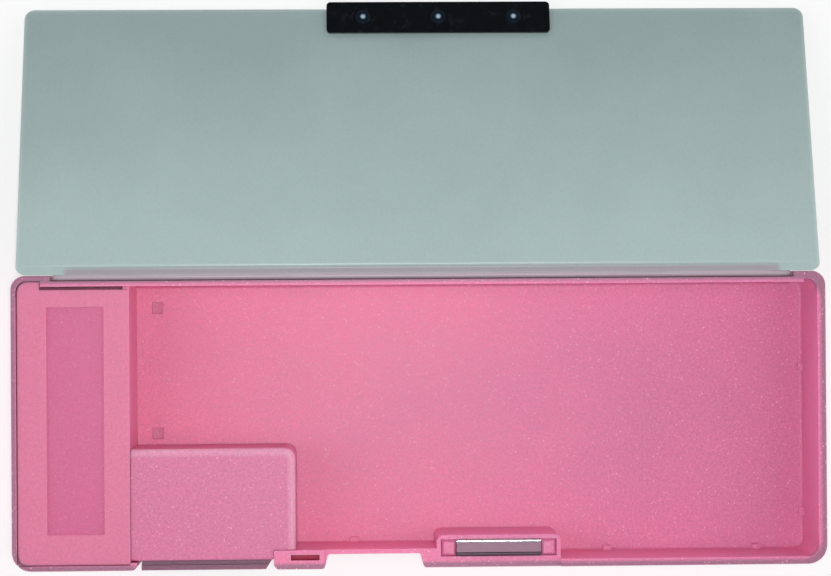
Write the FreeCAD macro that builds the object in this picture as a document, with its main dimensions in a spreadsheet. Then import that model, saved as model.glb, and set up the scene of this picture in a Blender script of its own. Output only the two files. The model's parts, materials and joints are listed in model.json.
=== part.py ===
import FreeCAD, Part
import math
import os

import Sketcher
from FreeCAD import Placement, Rotation, Vector

# Driving sizes in millimetres: name, value, what it measures.
SIZES = [
    ("box_length", 230.0, "tray, left end to right end"),
    ("box_width", 83.0, "tray, front to rear"),
    ("box_height", 26.0, "tray, table to rim"),
    ("floor_thick", 2.2, "tray floor"),
    ("side_wall", 2.4, "left and right walls"),
    ("front_wall", 2.2, "front wall, and rear wall at the corner posts"),
    ("hinge_wall", 1.5, "rear wall between the corner posts"),
    ("front_corner", 5.5, "outer radius of the front corners"),
    ("rear_corner", 4.0, "outer radius of the rear corners"),
    ("inner_corner", 3.0, "upright radius inside the main bay"),
    ("rim_round", 0.7, "rounding of the rim's outer edge"),
    ("foot_round", 0.8, "rounding of the outer edge under the tray"),
    ("floor_round", 0.7, "fillet between the main bay's floor and walls"),
    ("seat_gap", 0.1, "gap round pieces that are laid or pressed in place"),
    ("slide_gap", 0.3, "running gap under and beside the drawer"),
    ("hinge_recess", 1.6, "depth of the rear recess for the vinyl strip"),
    ("left_post", 11.0, "length of the rear left corner post"),
    ("right_post", 9.0, "length of the rear right corner post"),
    ("post_cheek", 2.7, "wall at the side of a corner post"),
    ("end_length", 33.2, "left end to the partition's main-bay face"),
    ("partition_thick", 2.0, "partition between the end cell and the main bay"),
    ("cover_thick", 1.6, "end cover"),
    ("cover_drop", 0.3, "end cover below the rim"),
    ("cover_rim", 1.5, "rim left standing round the end cover"),
    ("cover_gap", 0.3, "gap round the end cover"),
    ("cover_rear_gap", 0.9, "finger-nail gap behind the end cover"),
    ("cover_corner", 3.0, "upright radius of the end cover"),
    ("label_width", 16.0, "label recess, left to right"),
    ("label_left", 8.2, "end cover's left edge to the label recess"),
    ("label_front", 8.4, "end cover's front edge to the label recess"),
    ("label_rear", 4.9, "label recess to the end cover's rear edge"),
    ("label_deep", 0.6, "depth of the label recess"),
    ("leg_width", 9.0, "locating leg under the end cover"),
    ("leg_thick", 1.2, "thickness of a locating leg"),
    ("leg_drop", 5.0, "length of a locating leg"),
    ("leg_inset", 12.0, "end cover's front and rear edges to its legs"),
    ("opening_offset", 1.8, "partition to the drawer opening"),
    ("opening_length", 38.4, "drawer opening in the front wall"),
    ("opening_round", 1.6, "upright radius of the drawer opening"),
    ("front_thick", 2.6, "drawer front"),
    ("front_left_gap", 1.2, "see-through gap at the drawer front's left end"),
    ("front_right_gap", 0.6, "gap at the drawer front's right end"),
    ("front_slant", 1.7, "slant of the drawer front's right end"),
    ("front_clear", 0.5, "drawer front above the table"),
    ("front_drop", 1.2, "drawer front below the rim"),
    ("front_step", 0.9, "step down behind the drawer front's lip"),
    ("lip_thick", 1.4, "lip along the drawer front's top"),
    ("pull_length", 20.0, "finger groove in the drawer front"),
    ("pull_height", 4.0, "height of the finger groove"),
    ("pull_deep", 1.0, "depth of the finger groove"),
    ("pull_drop", 3.0, "drawer front's top to the finger groove"),
    ("housing_side", 6.1, "drawer opening to the housing's right face"),
    ("housing_depth", 31.3, "drawer housing, front to rear"),
    ("housing_drop", 0.7, "drawer housing below the rim"),
    ("housing_wall", 1.5, "drawer housing walls and deck"),
    ("housing_corner", 3.0, "upright radius of the housing's free corner"),
    ("housing_round", 1.8, "rounding along the housing's top edges"),
    ("guide_wall", 1.2, "wall that guides the drawer's right side"),
    ("stop_lip", 1.3, "lip under the deck that stops the drawer"),
    ("stop_lip_thick", 1.5, "front to rear size of the stop lip"),
    ("drawer_wall", 1.3, "drawer tray walls and floor"),
    ("drawer_drop", 1.5, "drawer tray's sides below the stop lip"),
    ("drawer_rear_gap", 1.5, "drawer tray to the housing's rear wall"),
    ("stop_length", 16.0, "stop tab on the drawer tray's rear wall"),
    ("stop_gap", 0.5, "stop tab to the underside of the deck"),
    ("ledge_length", 14.2, "ledge right of the drawer opening"),
    ("slot_width", 1.55, "width of the catch slot"),
    ("slot_left", 4.8, "ledge's left face to the catch slot"),
    ("slot_right", 1.4, "catch slot to the ledge's right face"),
    ("slot_rear", 1.3, "ledge's rear face to the catch slot"),
    ("slot_deep", 13.0, "depth of the catch slot"),
    ("catch_drop", 3.0, "catch tongue below the ledge"),
    ("nose_drop", 6.5, "rim to the top of the catch nose"),
    ("nose_height", 3.0, "height of the catch nose"),
    ("dimple_deep", 0.6, "catch dimple in the drawer's side"),
    ("notch_length", 28.1, "thumb notch along the front"),
    ("notch_depth", 4.0, "thumb notch, front to rear"),
    ("notch_wall", 1.3, "wall behind the thumb notch"),
    ("notch_slant", 1.0, "slant of the thumb notch's ends"),
    ("notch_round", 1.0, "upright radius of the thumb notch"),
    ("magnet_offset", 3.6, "thumb notch to the magnet housing"),
    ("magnet_length", 35.1, "magnet housing along the front"),
    ("magnet_depth", 9.0, "magnet housing, front to rear"),
    ("magnet_corner", 2.0, "upright radius of the magnet housing"),
    ("plate_gap", 0.5, "lowered front rim to the rivet heads of the closed lid"),
    ("pocket_wall", 1.2, "magnet housing's ends to its pocket"),
    ("pocket_width", 4.8, "magnet pocket, front to rear"),
    ("pocket_front", 3.0, "tray front to the magnet pocket"),
    ("pocket_deep", 9.0, "depth of the magnet pocket"),
    ("holder_web", 1.5, "floor of the magnet holder"),
    ("holder_drop", 0.3, "magnet holder below its housing"),
    ("holder_chamfer", 0.7, "slope on the magnet holder's end blocks"),
    ("holder_end", 4.4, "pocket's ends to the magnet and pole strips"),
    ("pole_thick", 1.0, "pole strip"),
    ("pole_rise", 0.2, "pole strips above the magnet housing"),
    ("pole_round", 0.4, "rounding of the pole strips' top edges"),
    ("magnet_sink", 0.4, "magnet below the pole strips' tops"),
    ("socket_side", 3.2, "square rack socket"),
    ("socket_deep", 1.5, "depth of a rack socket"),
    ("socket_offset", 6.0, "partition to the centre of the sockets"),
    ("socket_rear", 9.3, "tray rear to the rear socket's centre"),
    ("socket_front", 3.2, "drawer housing to the front socket's centre"),
    ("rib_width", 2.4, "foot rib along its wall"),
    ("rib_depth", 1.3, "foot rib out from its wall"),
    ("rib_height", 1.8, "foot rib above the floor"),
    ("rib_front_right", 16.4, "tray right end to the first front rib"),
    ("rib_front_left", 15.4, "magnet housing to the second front rib"),
    ("rib_side_front", 12.9, "tray front to the first right-wall rib"),
    ("rib_side_step", 42.4, "between the two right-wall ribs"),
    ("rib_notch_offset", 8.6, "thumb notch's left end to its rib"),
    ("strip_thick", 0.6, "vinyl hinge strip"),
    ("strip_margin", 1.0, "hinge strip to the ends of its recess"),
    ("strip_bottom", 3.0, "table to the hinge strip's lower edge"),
    ("strip_top_gap", 0.4, "hinge strip below the rim"),
    ("strip_lip", 0.6, "fold at the strip's top, towards the hinge line"),
    ("lid_clear", 0.2, "closed lid above the rim"),
    ("lid_inset", 1.25, "lid ends inside the tray ends"),
    ("lid_start", 2.3, "hinge line to the padded edge"),
    ("lid_front_inset", 1.7, "closed lid's free edge inside the tray front"),
    ("lid_corner", 3.0, "upright radius of the lid's corners"),
    ("lid_round", 2.4, "rounding of the padded side"),
    ("skin_thick", 0.4, "vinyl skins"),
    ("weld_margin", 1.0, "welded edge round the lid"),
    ("board_thick", 1.5, "lid board"),
    ("foam_thick", 1.65, "lid foam"),
    ("foam_round", 1.4, "rounding of the foam's edge"),
    ("fill_gap", 0.05, "gap round the board and foam"),
    ("flange_start", 0.3, "hinge line to the lid's hinge flange"),
    ("plate_width", 9.6, "striker plate, front to rear"),
    ("plate_thick", 0.8, "striker plate"),
    ("plate_offset", 1.4, "thumb notch's left end to the striker plate"),
    ("plate_end", 0.4, "striker plate to the magnet housing's right end"),
    ("plate_overhang", 1.3, "striker plate past the lid's free edge"),
    ("plate_corner", 1.2, "radius of the striker plate's corners"),
    ("rivet_spacing", 21.9, "between the rivets"),
    ("rivet_edge", 3.5, "lid's free edge to the rivets"),
    ("rivet_shank", 2.3, "rivet shank diameter"),
    ("rivet_head", 4.4, "rivet head diameter"),
    ("rivet_dome", 0.6, "height of the rivet head"),
    ("rivet_tail", 3.6, "diameter of the clinched rivet end"),
    ("tail_thick", 0.6, "thickness of the clinched rivet end"),
    ("washer_outer", 4.2, "backing washer diameter"),
    ("washer_thick", 0.4, "backing washer"),
    ("rivet_room", 0.3, "gap from the washers to the foam"),
    ("cut_past", 1.0, "how far an open cut runs past the solid"),
]

doc = FreeCAD.newDocument("pencil_box")
sheet = doc.addObject("Spreadsheet::Sheet", "sizes")
for row, (alias, size, note) in enumerate(SIZES, start=1):
    sheet.set(f"A{row}", note)
    sheet.set(f"B{row}", str(size))
    sheet.setAlias(f"B{row}", alias)
doc.recompute()


# Places worked out from the driving sizes, as expressions. X runs left to right, Y front to rear.
LEFT = "(-sizes.box_length / 2)"
RIGHT = "(sizes.box_length / 2)"
FRONT = "(-sizes.box_width / 2)"
REAR = "(sizes.box_width / 2)"
RIM = "sizes.box_height"
FLOOR = "sizes.floor_thick"

INNER_LEFT = f"({LEFT} + sizes.side_wall)"
INNER_RIGHT = f"({RIGHT} - sizes.side_wall)"
INNER_FRONT = f"({FRONT} + sizes.front_wall)"
POST_REAR = f"({REAR} - sizes.front_wall)"
RECESS = f"({REAR} - sizes.hinge_recess)"
INNER_REAR = f"({RECESS} - sizes.hinge_wall)"
RECESS_LEFT = f"({LEFT} + sizes.left_post)"
RECESS_RIGHT = f"({RIGHT} - sizes.right_post)"
POST_LEFT_X = f"({RECESS_LEFT} - sizes.post_cheek)"
POST_RIGHT_X = f"({RECESS_RIGHT} + sizes.post_cheek)"

PARTITION = f"({LEFT} + sizes.end_length)"
CELL_RIGHT = f"({PARTITION} - sizes.partition_thick)"
COVER_TOP = f"({RIM} - sizes.cover_drop)"
COVER_SEAT = f"({COVER_TOP} - sizes.cover_thick)"

OPENING_LEFT = f"({PARTITION} + sizes.opening_offset)"
OPENING_RIGHT = f"({OPENING_LEFT} + sizes.opening_length)"
DRAWER_FRONT = f"({FRONT} + sizes.front_thick)"
OPENING_REAR = f"(max({DRAWER_FRONT}; {INNER_FRONT}) + sizes.slide_gap)"
LEDGE_RIGHT = f"({OPENING_RIGHT} + sizes.ledge_length)"
NOTCH_REAR = f"({FRONT} + sizes.notch_depth)"
LEDGE_REAR = f"({NOTCH_REAR} + sizes.notch_wall)"
SLOT_LEFT = f"({OPENING_RIGHT} + sizes.slot_left)"
SLOT_RIGHT = f"({LEDGE_RIGHT} - sizes.slot_right)"
SLOT_REAR = f"({LEDGE_REAR} - sizes.slot_rear)"
SLOT_FRONT = f"({SLOT_REAR} - sizes.slot_width)"
NOTCH_RIGHT = f"({LEDGE_RIGHT} + sizes.notch_length)"

MAGNET_LEFT = f"({NOTCH_RIGHT} + sizes.magnet_offset)"
MAGNET_RIGHT = f"({MAGNET_LEFT} + sizes.magnet_length)"
MAGNET_REAR = f"({FRONT} + sizes.magnet_depth)"
MAGNET_MIDDLE = f"(({MAGNET_LEFT} + {MAGNET_RIGHT}) / 2)"
CLOSED_LID = f"({RIM} + sizes.lid_clear)"
LOW_RIM = f"({CLOSED_LID} - sizes.plate_thick - sizes.rivet_dome - sizes.plate_gap)"
POCKET_LEFT = f"({MAGNET_LEFT} + sizes.pocket_wall)"
POCKET_RIGHT = f"({MAGNET_RIGHT} - sizes.pocket_wall)"
POCKET_FRONT = f"({FRONT} + sizes.pocket_front)"
POCKET_REAR = f"({POCKET_FRONT} + sizes.pocket_width)"
POCKET_FLOOR = f"({LOW_RIM} - sizes.pocket_deep)"
CRADLE_LEFT = f"({POCKET_LEFT} + sizes.holder_end)"
CRADLE_RIGHT = f"({POCKET_RIGHT} - sizes.holder_end)"

HOUSING_LEFT = f"({PARTITION} + sizes.seat_gap)"
HOUSING_RIGHT = f"({OPENING_RIGHT} + sizes.housing_side)"
HOUSING_FRONT = f"(max({DRAWER_FRONT}; {INNER_FRONT}) + sizes.seat_gap)"
HOUSING_REAR = f"({HOUSING_FRONT} + sizes.housing_depth)"
HOUSING_TOP = f"({RIM} - sizes.housing_drop)"
DECK_UNDER = f"({HOUSING_TOP} - sizes.housing_wall)"
DECK_RIGHT = f"({OPENING_RIGHT} - sizes.seat_gap)"
BAY_REAR = f"({HOUSING_REAR} - sizes.housing_wall)"
STOP_LIP_REAR = f"({HOUSING_FRONT} + sizes.stop_lip_thick)"

DRAWER_LEFT = f"({OPENING_LEFT} + 2 * sizes.slide_gap)"
DRAWER_RIGHT = f"({OPENING_RIGHT} - 2 * sizes.slide_gap)"
DRAWER_REAR = f"({BAY_REAR} - sizes.drawer_rear_gap)"
DRAWER_UNDER = f"({FLOOR} + sizes.slide_gap)"
MOUTH_TOP = f"({DECK_UNDER} - sizes.stop_lip)"
DRAWER_TOP = f"({MOUTH_TOP} - sizes.drawer_drop)"
STOP_TOP = f"({DECK_UNDER} - sizes.stop_gap)"

# Places on the lid, measured from the hinge line with the lid shut: Y is negative towards the front.
HINGE_Y = REAR
HINGE_Z = CLOSED_LID
LID_RIGHT = f"({RIGHT} - sizes.lid_inset)"
LID_LEFT = f"({LEFT} + sizes.lid_inset)"
LID_REAR = "(-sizes.lid_start)"
LID_FREE = "(sizes.lid_front_inset - sizes.box_width)"
BOARD_UNDER = "sizes.skin_thick"
FOAM_UNDER = f"({BOARD_UNDER} + sizes.board_thick)"
FOAM_TOP = f"({FOAM_UNDER} + sizes.foam_thick)"
FOAM_ROUND = "min(sizes.foam_round; sizes.foam_thick - sizes.fill_gap)"
SKIN_INSIDE = f"({FOAM_TOP} + sizes.fill_gap)"
LID_TOP = f"({SKIN_INSIDE} + sizes.skin_thick)"
PLATE_LEFT = f"({LEDGE_RIGHT} + sizes.plate_offset)"
PLATE_RIGHT = f"({MAGNET_RIGHT} - sizes.plate_end)"
PLATE_FREE = f"({LID_FREE} - sizes.plate_overhang)"
PLATE_REAR = f"({PLATE_FREE} + sizes.plate_width)"
RIVET_Y = f"({LID_FREE} + sizes.rivet_edge)"
RIVET_XS = [f"(({PLATE_LEFT} + {PLATE_RIGHT}) / 2 + {step} * sizes.rivet_spacing)" for step in (-1, 0, 1)]
WASHER_TOP = f"({FOAM_UNDER} + sizes.washer_thick)"


def number(expression):
    """The present value of an expression over the sheet."""
    return float(sheet.evalExpression(expression))


def new_body(name):
    """An empty body whose label names its file."""
    body = doc.addObject("PartDesign::Body", name)
    body.Label = name
    return body


def sketch_at(body, name, height):
    """A sketch on the body's XY plane, raised to a height."""
    plane = next(f for f in body.Origin.OriginFeatures if f.Role == "XY_Plane")
    profile = body.newObject("Sketcher::SketchObject", name)
    profile.AttachmentSupport = [(plane, "")]
    profile.MapMode = "FlatFace"
    profile.setExpression("AttachmentOffset.Base.z", height)
    return profile


def pin_point(profile, line, end, x, y):
    """Ties one point of a sketch to a place measured from the origin."""
    for kind, place in (("DistanceX", x), ("DistanceY", y)):
        tie = Sketcher.Constraint(kind, -1, 1, line, end, number(place))
        index = profile.addConstraint(tie)
        profile.setExpression(f"Constraints[{index}]", place)


def draw_outline(profile, corners):
    """A closed outline of straight lines through the corners."""
    first = profile.GeometryCount
    points = [Vector(number(x), number(y), 0) for x, y in corners]
    for here, there in zip(points, points[1:] + points[:1]):
        profile.addGeometry(Part.LineSegment(here, there), False)
    for i in range(len(points)):
        following = first + (i + 1) % len(points)
        profile.addConstraint(Sketcher.Constraint("Coincident", first + i, 2, following, 1))
    for i, (x, y) in enumerate(corners):
        pin_point(profile, first + i, 1, x, y)


def draw_circle(profile, x, y, diameter):
    """A circle tied to its centre and diameter."""
    centre = Vector(number(x), number(y), 0)
    circle = Part.Circle(centre, Vector(0, 0, 1), number(diameter) / 2)
    index = profile.addGeometry(circle, False)
    pin_point(profile, index, 3, x, y)
    tie = profile.addConstraint(Sketcher.Constraint("Diameter", index, number(diameter)))
    profile.setExpression(f"Constraints[{tie}]", diameter)


def box(left, right, front, rear):
    """The corners of a rectangle."""
    return [(left, front), (right, front), (right, rear), (left, rear)]


def extrude(body, name, kind, profile, low, high):
    """A pad up from a sketch, or a pocket down from it, between two heights."""
    feature = body.newObject(f"PartDesign::{kind}", name)
    feature.Profile = profile
    feature.setExpression("Length", f"{high} - {low}")
    before = body.Shape.Volume if body.Shape.Solids else 0.0
    doc.recompute()
    gained = feature.Shape.Volume - before
    if gained * (1 if kind == "Pad" else -1) <= 0:
        raise RuntimeError(f"{body.Label}: {name} changes nothing")
    return feature


def add(body, name, outlines, low, high):
    """Adds material inside the outlines, between two heights."""
    profile = sketch_at(body, f"{name}_sketch", low)
    for corners in outlines:
        draw_outline(profile, corners)
    return extrude(body, name, "Pad", profile, low, high)


def cut(body, name, outlines, low, high):
    """Takes material away inside the outlines, between two heights."""
    profile = sketch_at(body, f"{name}_sketch", high)
    for corners in outlines:
        draw_outline(profile, corners)
    return extrude(body, name, "Pocket", profile, low, high)


def add_discs(body, name, centres, diameter, low, high):
    """Adds a disc at each centre."""
    profile = sketch_at(body, f"{name}_sketch", low)
    for x, y in centres:
        draw_circle(profile, x, y, diameter)
    return extrude(body, name, "Pad", profile, low, high)


def cut_holes(body, name, centres, diameter, low, high):
    """Cuts a round hole at each centre."""
    profile = sketch_at(body, f"{name}_sketch", high)
    for x, y in centres:
        draw_circle(profile, x, y, diameter)
    return extrude(body, name, "Pocket", profile, low, high)


def near(a, b):
    """True where two lengths are the same size."""
    return abs(a - b) < 0.01


def upright_edges(body, places):
    """The names of the upright edges that stand at the given places."""
    spots = [(number(x), number(y)) for x, y in places]
    names = []
    for index, edge in enumerate(body.Shape.Edges, start=1):
        low, high = edge.BoundBox.ZMin, edge.BoundBox.ZMax
        if near(low, high) or edge.BoundBox.XLength > 0.01 or edge.BoundBox.YLength > 0.01:
            continue
        middle = edge.BoundBox.Center
        if any(near(middle.x, x) and near(middle.y, y) for x, y in spots):
            names.append(f"Edge{index}")
    return names


def level_edges(body, height, keep=lambda middle: True):
    """The names of the edges that lie flat at a height and whose middle is kept."""
    level = number(height)
    names = []
    for index, edge in enumerate(body.Shape.Edges, start=1):
        bounds = edge.BoundBox
        if near(bounds.ZMin, level) and near(bounds.ZMax, level) and keep(bounds.Center):
            names.append(f"Edge{index}")
    return names


def dress(body, name, kind, edges, size_name, size):
    """A fillet or a chamfer on named edges of the body's last feature."""
    if not edges:
        raise RuntimeError(f"{body.Label}: {name} found no edges")
    base = body.Tip
    feature = body.newObject(f"PartDesign::{kind}", name)
    feature.Base = (base, edges)
    feature.setExpression(size_name, size)
    doc.recompute()
    return feature


def fillet(body, name, edges, radius):
    """Rounds named edges."""
    return dress(body, name, "Fillet", edges, "Radius", radius)


def on_bay_wall(middle):
    """True for floor edges along the main bay's right end, its front right wall and its rear wall."""
    if middle.x < number(PARTITION):
        return False
    at_right = middle.x > number(f"{INNER_RIGHT} - sizes.inner_corner")
    at_front = near(middle.y, number(INNER_FRONT)) and middle.x > number(MAGNET_RIGHT)
    at_rear = near(middle.y, number(INNER_REAR))
    return at_right or at_front or at_rear


def on_tray_outside(middle):
    """True for edges on the tray's outer faces and round its four corners."""
    at_end = near(middle.x, number(LEFT)) or near(middle.x, number(RIGHT))
    at_long_side = near(middle.y, number(FRONT)) or near(middle.y, number(REAR))
    front_bend = number("sizes.front_corner") / 2
    rear_bend = number("sizes.rear_corner") / 2
    bends = [(LEFT, FRONT, 1, front_bend), (RIGHT, FRONT, -1, front_bend)]
    bends += [(LEFT, REAR, 1, -rear_bend), (RIGHT, REAR, -1, -rear_bend)]
    at_corner = any(
        near(middle.x, number(x) + side * abs(bend)) and near(middle.y, number(y) + bend)
        for x, y, side, bend in bends
    )
    return at_end or at_long_side or at_corner


def foot_ribs():
    """The small ribs at the foot of the front, right and notch walls."""
    half = "sizes.rib_width / 2"
    front_root = f"({FRONT} + sizes.front_wall / 2)"
    front_tip = f"({INNER_FRONT} + sizes.rib_depth)"
    side_root = f"({RIGHT} - sizes.side_wall / 2)"
    side_tip = f"({INNER_RIGHT} - sizes.rib_depth)"
    notch_root = f"(({NOTCH_REAR} + {LEDGE_REAR}) / 2)"
    notch_tip = f"({LEDGE_REAR} + sizes.rib_depth)"
    ribs = []
    for x in (f"({RIGHT} - sizes.rib_front_right)", f"({MAGNET_RIGHT} + sizes.rib_front_left)"):
        ribs.append(box(f"{x} - {half}", f"{x} + {half}", front_root, front_tip))
    for step in (0, 1):
        y = f"({FRONT} + sizes.rib_side_front + {step} * sizes.rib_side_step)"
        ribs.append(box(side_tip, side_root, f"{y} - {half}", f"{y} + {half}"))
    x = f"({LEDGE_RIGHT} + sizes.rib_notch_offset)"
    ribs.append(box(f"{x} - {half}", f"{x} + {half}", notch_root, notch_tip))
    return ribs


def make_tray_shell():
    """The moulded tray: floor, walls, partition, ledge, thumb notch, magnet housing and sockets."""
    body = new_body("tray_shell")
    notch_left = f"({LEDGE_RIGHT} + sizes.notch_slant)"
    notch_right = f"({NOTCH_RIGHT} - sizes.notch_slant)"
    outline = [
        (LEFT, FRONT),
        (OPENING_LEFT, FRONT),
        (OPENING_LEFT, OPENING_REAR),
        (OPENING_RIGHT, OPENING_REAR),
        (OPENING_RIGHT, FRONT),
        (LEDGE_RIGHT, FRONT),
        (notch_left, NOTCH_REAR),
        (notch_right, NOTCH_REAR),
        (NOTCH_RIGHT, FRONT),
        (RIGHT, FRONT),
        (RIGHT, REAR),
        (RECESS_RIGHT, REAR),
        (RECESS_RIGHT, RECESS),
        (RECESS_LEFT, RECESS),
        (RECESS_LEFT, REAR),
        (LEFT, REAR),
    ]
    add(body, "block", [outline], "0", RIM)
    fillet(body, "front_corners", upright_edges(body, [(LEFT, FRONT), (RIGHT, FRONT)]), "sizes.front_corner")
    fillet(body, "rear_corners", upright_edges(body, [(LEFT, REAR), (RIGHT, REAR)]), "sizes.rear_corner")
    opening_ends = [(OPENING_LEFT, FRONT), (OPENING_RIGHT, FRONT)]
    fillet(body, "opening_ends", upright_edges(body, opening_ends), "sizes.opening_round")
    notch_ends = [(LEDGE_RIGHT, FRONT), (NOTCH_RIGHT, FRONT)]
    notch_ends += [(notch_left, NOTCH_REAR), (notch_right, NOTCH_REAR)]
    fillet(body, "notch_ends", upright_edges(body, notch_ends), "sizes.notch_round")

    main_bay = [
        (PARTITION, INNER_FRONT),
        (OPENING_RIGHT, INNER_FRONT),
        (OPENING_RIGHT, LEDGE_REAR),
        (MAGNET_LEFT, LEDGE_REAR),
        (MAGNET_LEFT, MAGNET_REAR),
        (MAGNET_RIGHT, MAGNET_REAR),
        (MAGNET_RIGHT, INNER_FRONT),
        (INNER_RIGHT, INNER_FRONT),
        (INNER_RIGHT, POST_REAR),
        (POST_RIGHT_X, POST_REAR),
        (POST_RIGHT_X, INNER_REAR),
        (PARTITION, INNER_REAR),
    ]
    cut(body, "main_bay", [main_bay], FLOOR, RIM)
    bay_corners = [(INNER_RIGHT, INNER_FRONT), (INNER_RIGHT, POST_REAR)]
    fillet(body, "bay_corners", upright_edges(body, bay_corners), "sizes.inner_corner")
    fillet(body, "floor_edges", level_edges(body, FLOOR, on_bay_wall), "sizes.floor_round")
    housing_corners = [(MAGNET_LEFT, MAGNET_REAR), (MAGNET_RIGHT, MAGNET_REAR)]
    fillet(body, "magnet_corners", upright_edges(body, housing_corners), "sizes.magnet_corner")

    end_cell = [
        (INNER_LEFT, INNER_FRONT),
        (CELL_RIGHT, INNER_FRONT),
        (CELL_RIGHT, INNER_REAR),
        (POST_LEFT_X, INNER_REAR),
        (POST_LEFT_X, POST_REAR),
        (INNER_LEFT, POST_REAR),
    ]
    cut(body, "end_cell", [end_cell], FLOOR, RIM)
    cell_corners = [(INNER_LEFT, INNER_FRONT), (INNER_LEFT, POST_REAR)]
    fillet(body, "cell_corners", upright_edges(body, cell_corners), "sizes.cover_corner")
    rim_left = f"({LEFT} + sizes.cover_rim)"
    rim_front = f"({FRONT} + sizes.cover_rim)"
    rim_rear = f"({REAR} - sizes.cover_rim)"
    cover_seat = [
        (rim_left, rim_front),
        (PARTITION, rim_front),
        (PARTITION, INNER_REAR),
        (POST_LEFT_X, INNER_REAR),
        (POST_LEFT_X, rim_rear),
        (rim_left, rim_rear),
    ]
    cut(body, "cover_seat", [cover_seat], COVER_SEAT, RIM)
    seat_corners = [(rim_left, rim_front), (rim_left, rim_rear)]
    fillet(body, "seat_corners", upright_edges(body, seat_corners), "sizes.cover_corner")

    past_front = f"({FRONT} - sizes.cut_past)"
    past_rear = f"({MAGNET_REAR} + sizes.cut_past)"
    cut(body, "striker_relief", [box(LEDGE_RIGHT, MAGNET_RIGHT, past_front, past_rear)], LOW_RIM, RIM)
    pocket = box(POCKET_LEFT, POCKET_RIGHT, POCKET_FRONT, POCKET_REAR)
    cut(body, "magnet_pocket", [pocket], POCKET_FLOOR, LOW_RIM)
    slot = box(SLOT_LEFT, SLOT_RIGHT, SLOT_FRONT, SLOT_REAR)
    cut(body, "catch_slot", [slot], f"({RIM} - sizes.slot_deep)", RIM)
    window_high = f"({RIM} - sizes.nose_drop + sizes.slide_gap)"
    window_low = f"({RIM} - sizes.nose_drop - sizes.nose_height - sizes.slide_gap)"
    cut(body, "catch_window", [box(OPENING_RIGHT, SLOT_LEFT, SLOT_FRONT, SLOT_REAR)], window_low, window_high)

    half = "sizes.socket_side / 2"
    socket_x = f"({PARTITION} + sizes.socket_offset)"
    socket_ys = (f"({REAR} - sizes.socket_rear)", f"({HOUSING_REAR} + sizes.socket_front)")
    sockets = [
        box(f"{socket_x} - {half}", f"{socket_x} + {half}", f"{y} - {half}", f"{y} + {half}")
        for y in socket_ys
    ]
    cut(body, "rack_sockets", sockets, f"({FLOOR} - sizes.socket_deep)", FLOOR)

    add(body, "foot_ribs", foot_ribs(), FLOOR, f"({FLOOR} + sizes.rib_height)")

    def on_open_rim(middle):
        on_ledge = number(OPENING_LEFT) < middle.x < number(MAGNET_RIGHT) and middle.y < 0
        return on_tray_outside(middle) and not on_ledge

    fillet(body, "rim_edges", level_edges(body, RIM, on_open_rim), "sizes.rim_round")
    fillet(body, "foot_edges", level_edges(body, "0", on_tray_outside), "sizes.foot_round")
    return body


def make_end_cover():
    """The panel laid into the rim over the end cell, with a label recess and four locating legs."""
    body = new_body("end_cover")
    left = f"({LEFT} + sizes.cover_rim + sizes.cover_gap)"
    front = f"({FRONT} + sizes.cover_rim + sizes.cover_gap)"
    rear = f"({INNER_REAR} - sizes.cover_rear_gap)"
    corner_rear = f"({REAR} - sizes.cover_rim - sizes.cover_gap)"
    corner_right = f"({POST_LEFT_X} - sizes.cover_gap)"
    panel = [
        (left, front),
        (PARTITION, front),
        (PARTITION, rear),
        (corner_right, rear),
        (corner_right, corner_rear),
        (left, corner_rear),
    ]
    add(body, "panel", [panel], COVER_SEAT, COVER_TOP)
    outer_corners = [(left, front), (left, corner_rear)]
    fillet(body, "panel_corners", upright_edges(body, outer_corners), "sizes.cover_corner")
    label_left = f"({left} + sizes.label_left)"
    label = box(
        label_left,
        f"({label_left} + sizes.label_width)",
        f"({front} + sizes.label_front)",
        f"({rear} - sizes.label_rear)",
    )
    cut(body, "label_recess", [label], f"({COVER_TOP} - sizes.label_deep)", COVER_TOP)
    leg_left = f"({INNER_LEFT} + sizes.seat_gap)"
    leg_right = f"({CELL_RIGHT} - sizes.seat_gap)"
    legs = []
    for low in (f"({front} + sizes.leg_inset)", f"({rear} - sizes.leg_inset - sizes.leg_width)"):
        high = f"({low} + sizes.leg_width)"
        legs.append(box(leg_left, f"({leg_left} + sizes.leg_thick)", low, high))
        legs.append(box(f"({leg_right} - sizes.leg_thick)", leg_right, low, high))
    add(body, "legs", legs, f"({COVER_SEAT} - sizes.leg_drop)", COVER_SEAT)
    return body


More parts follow.
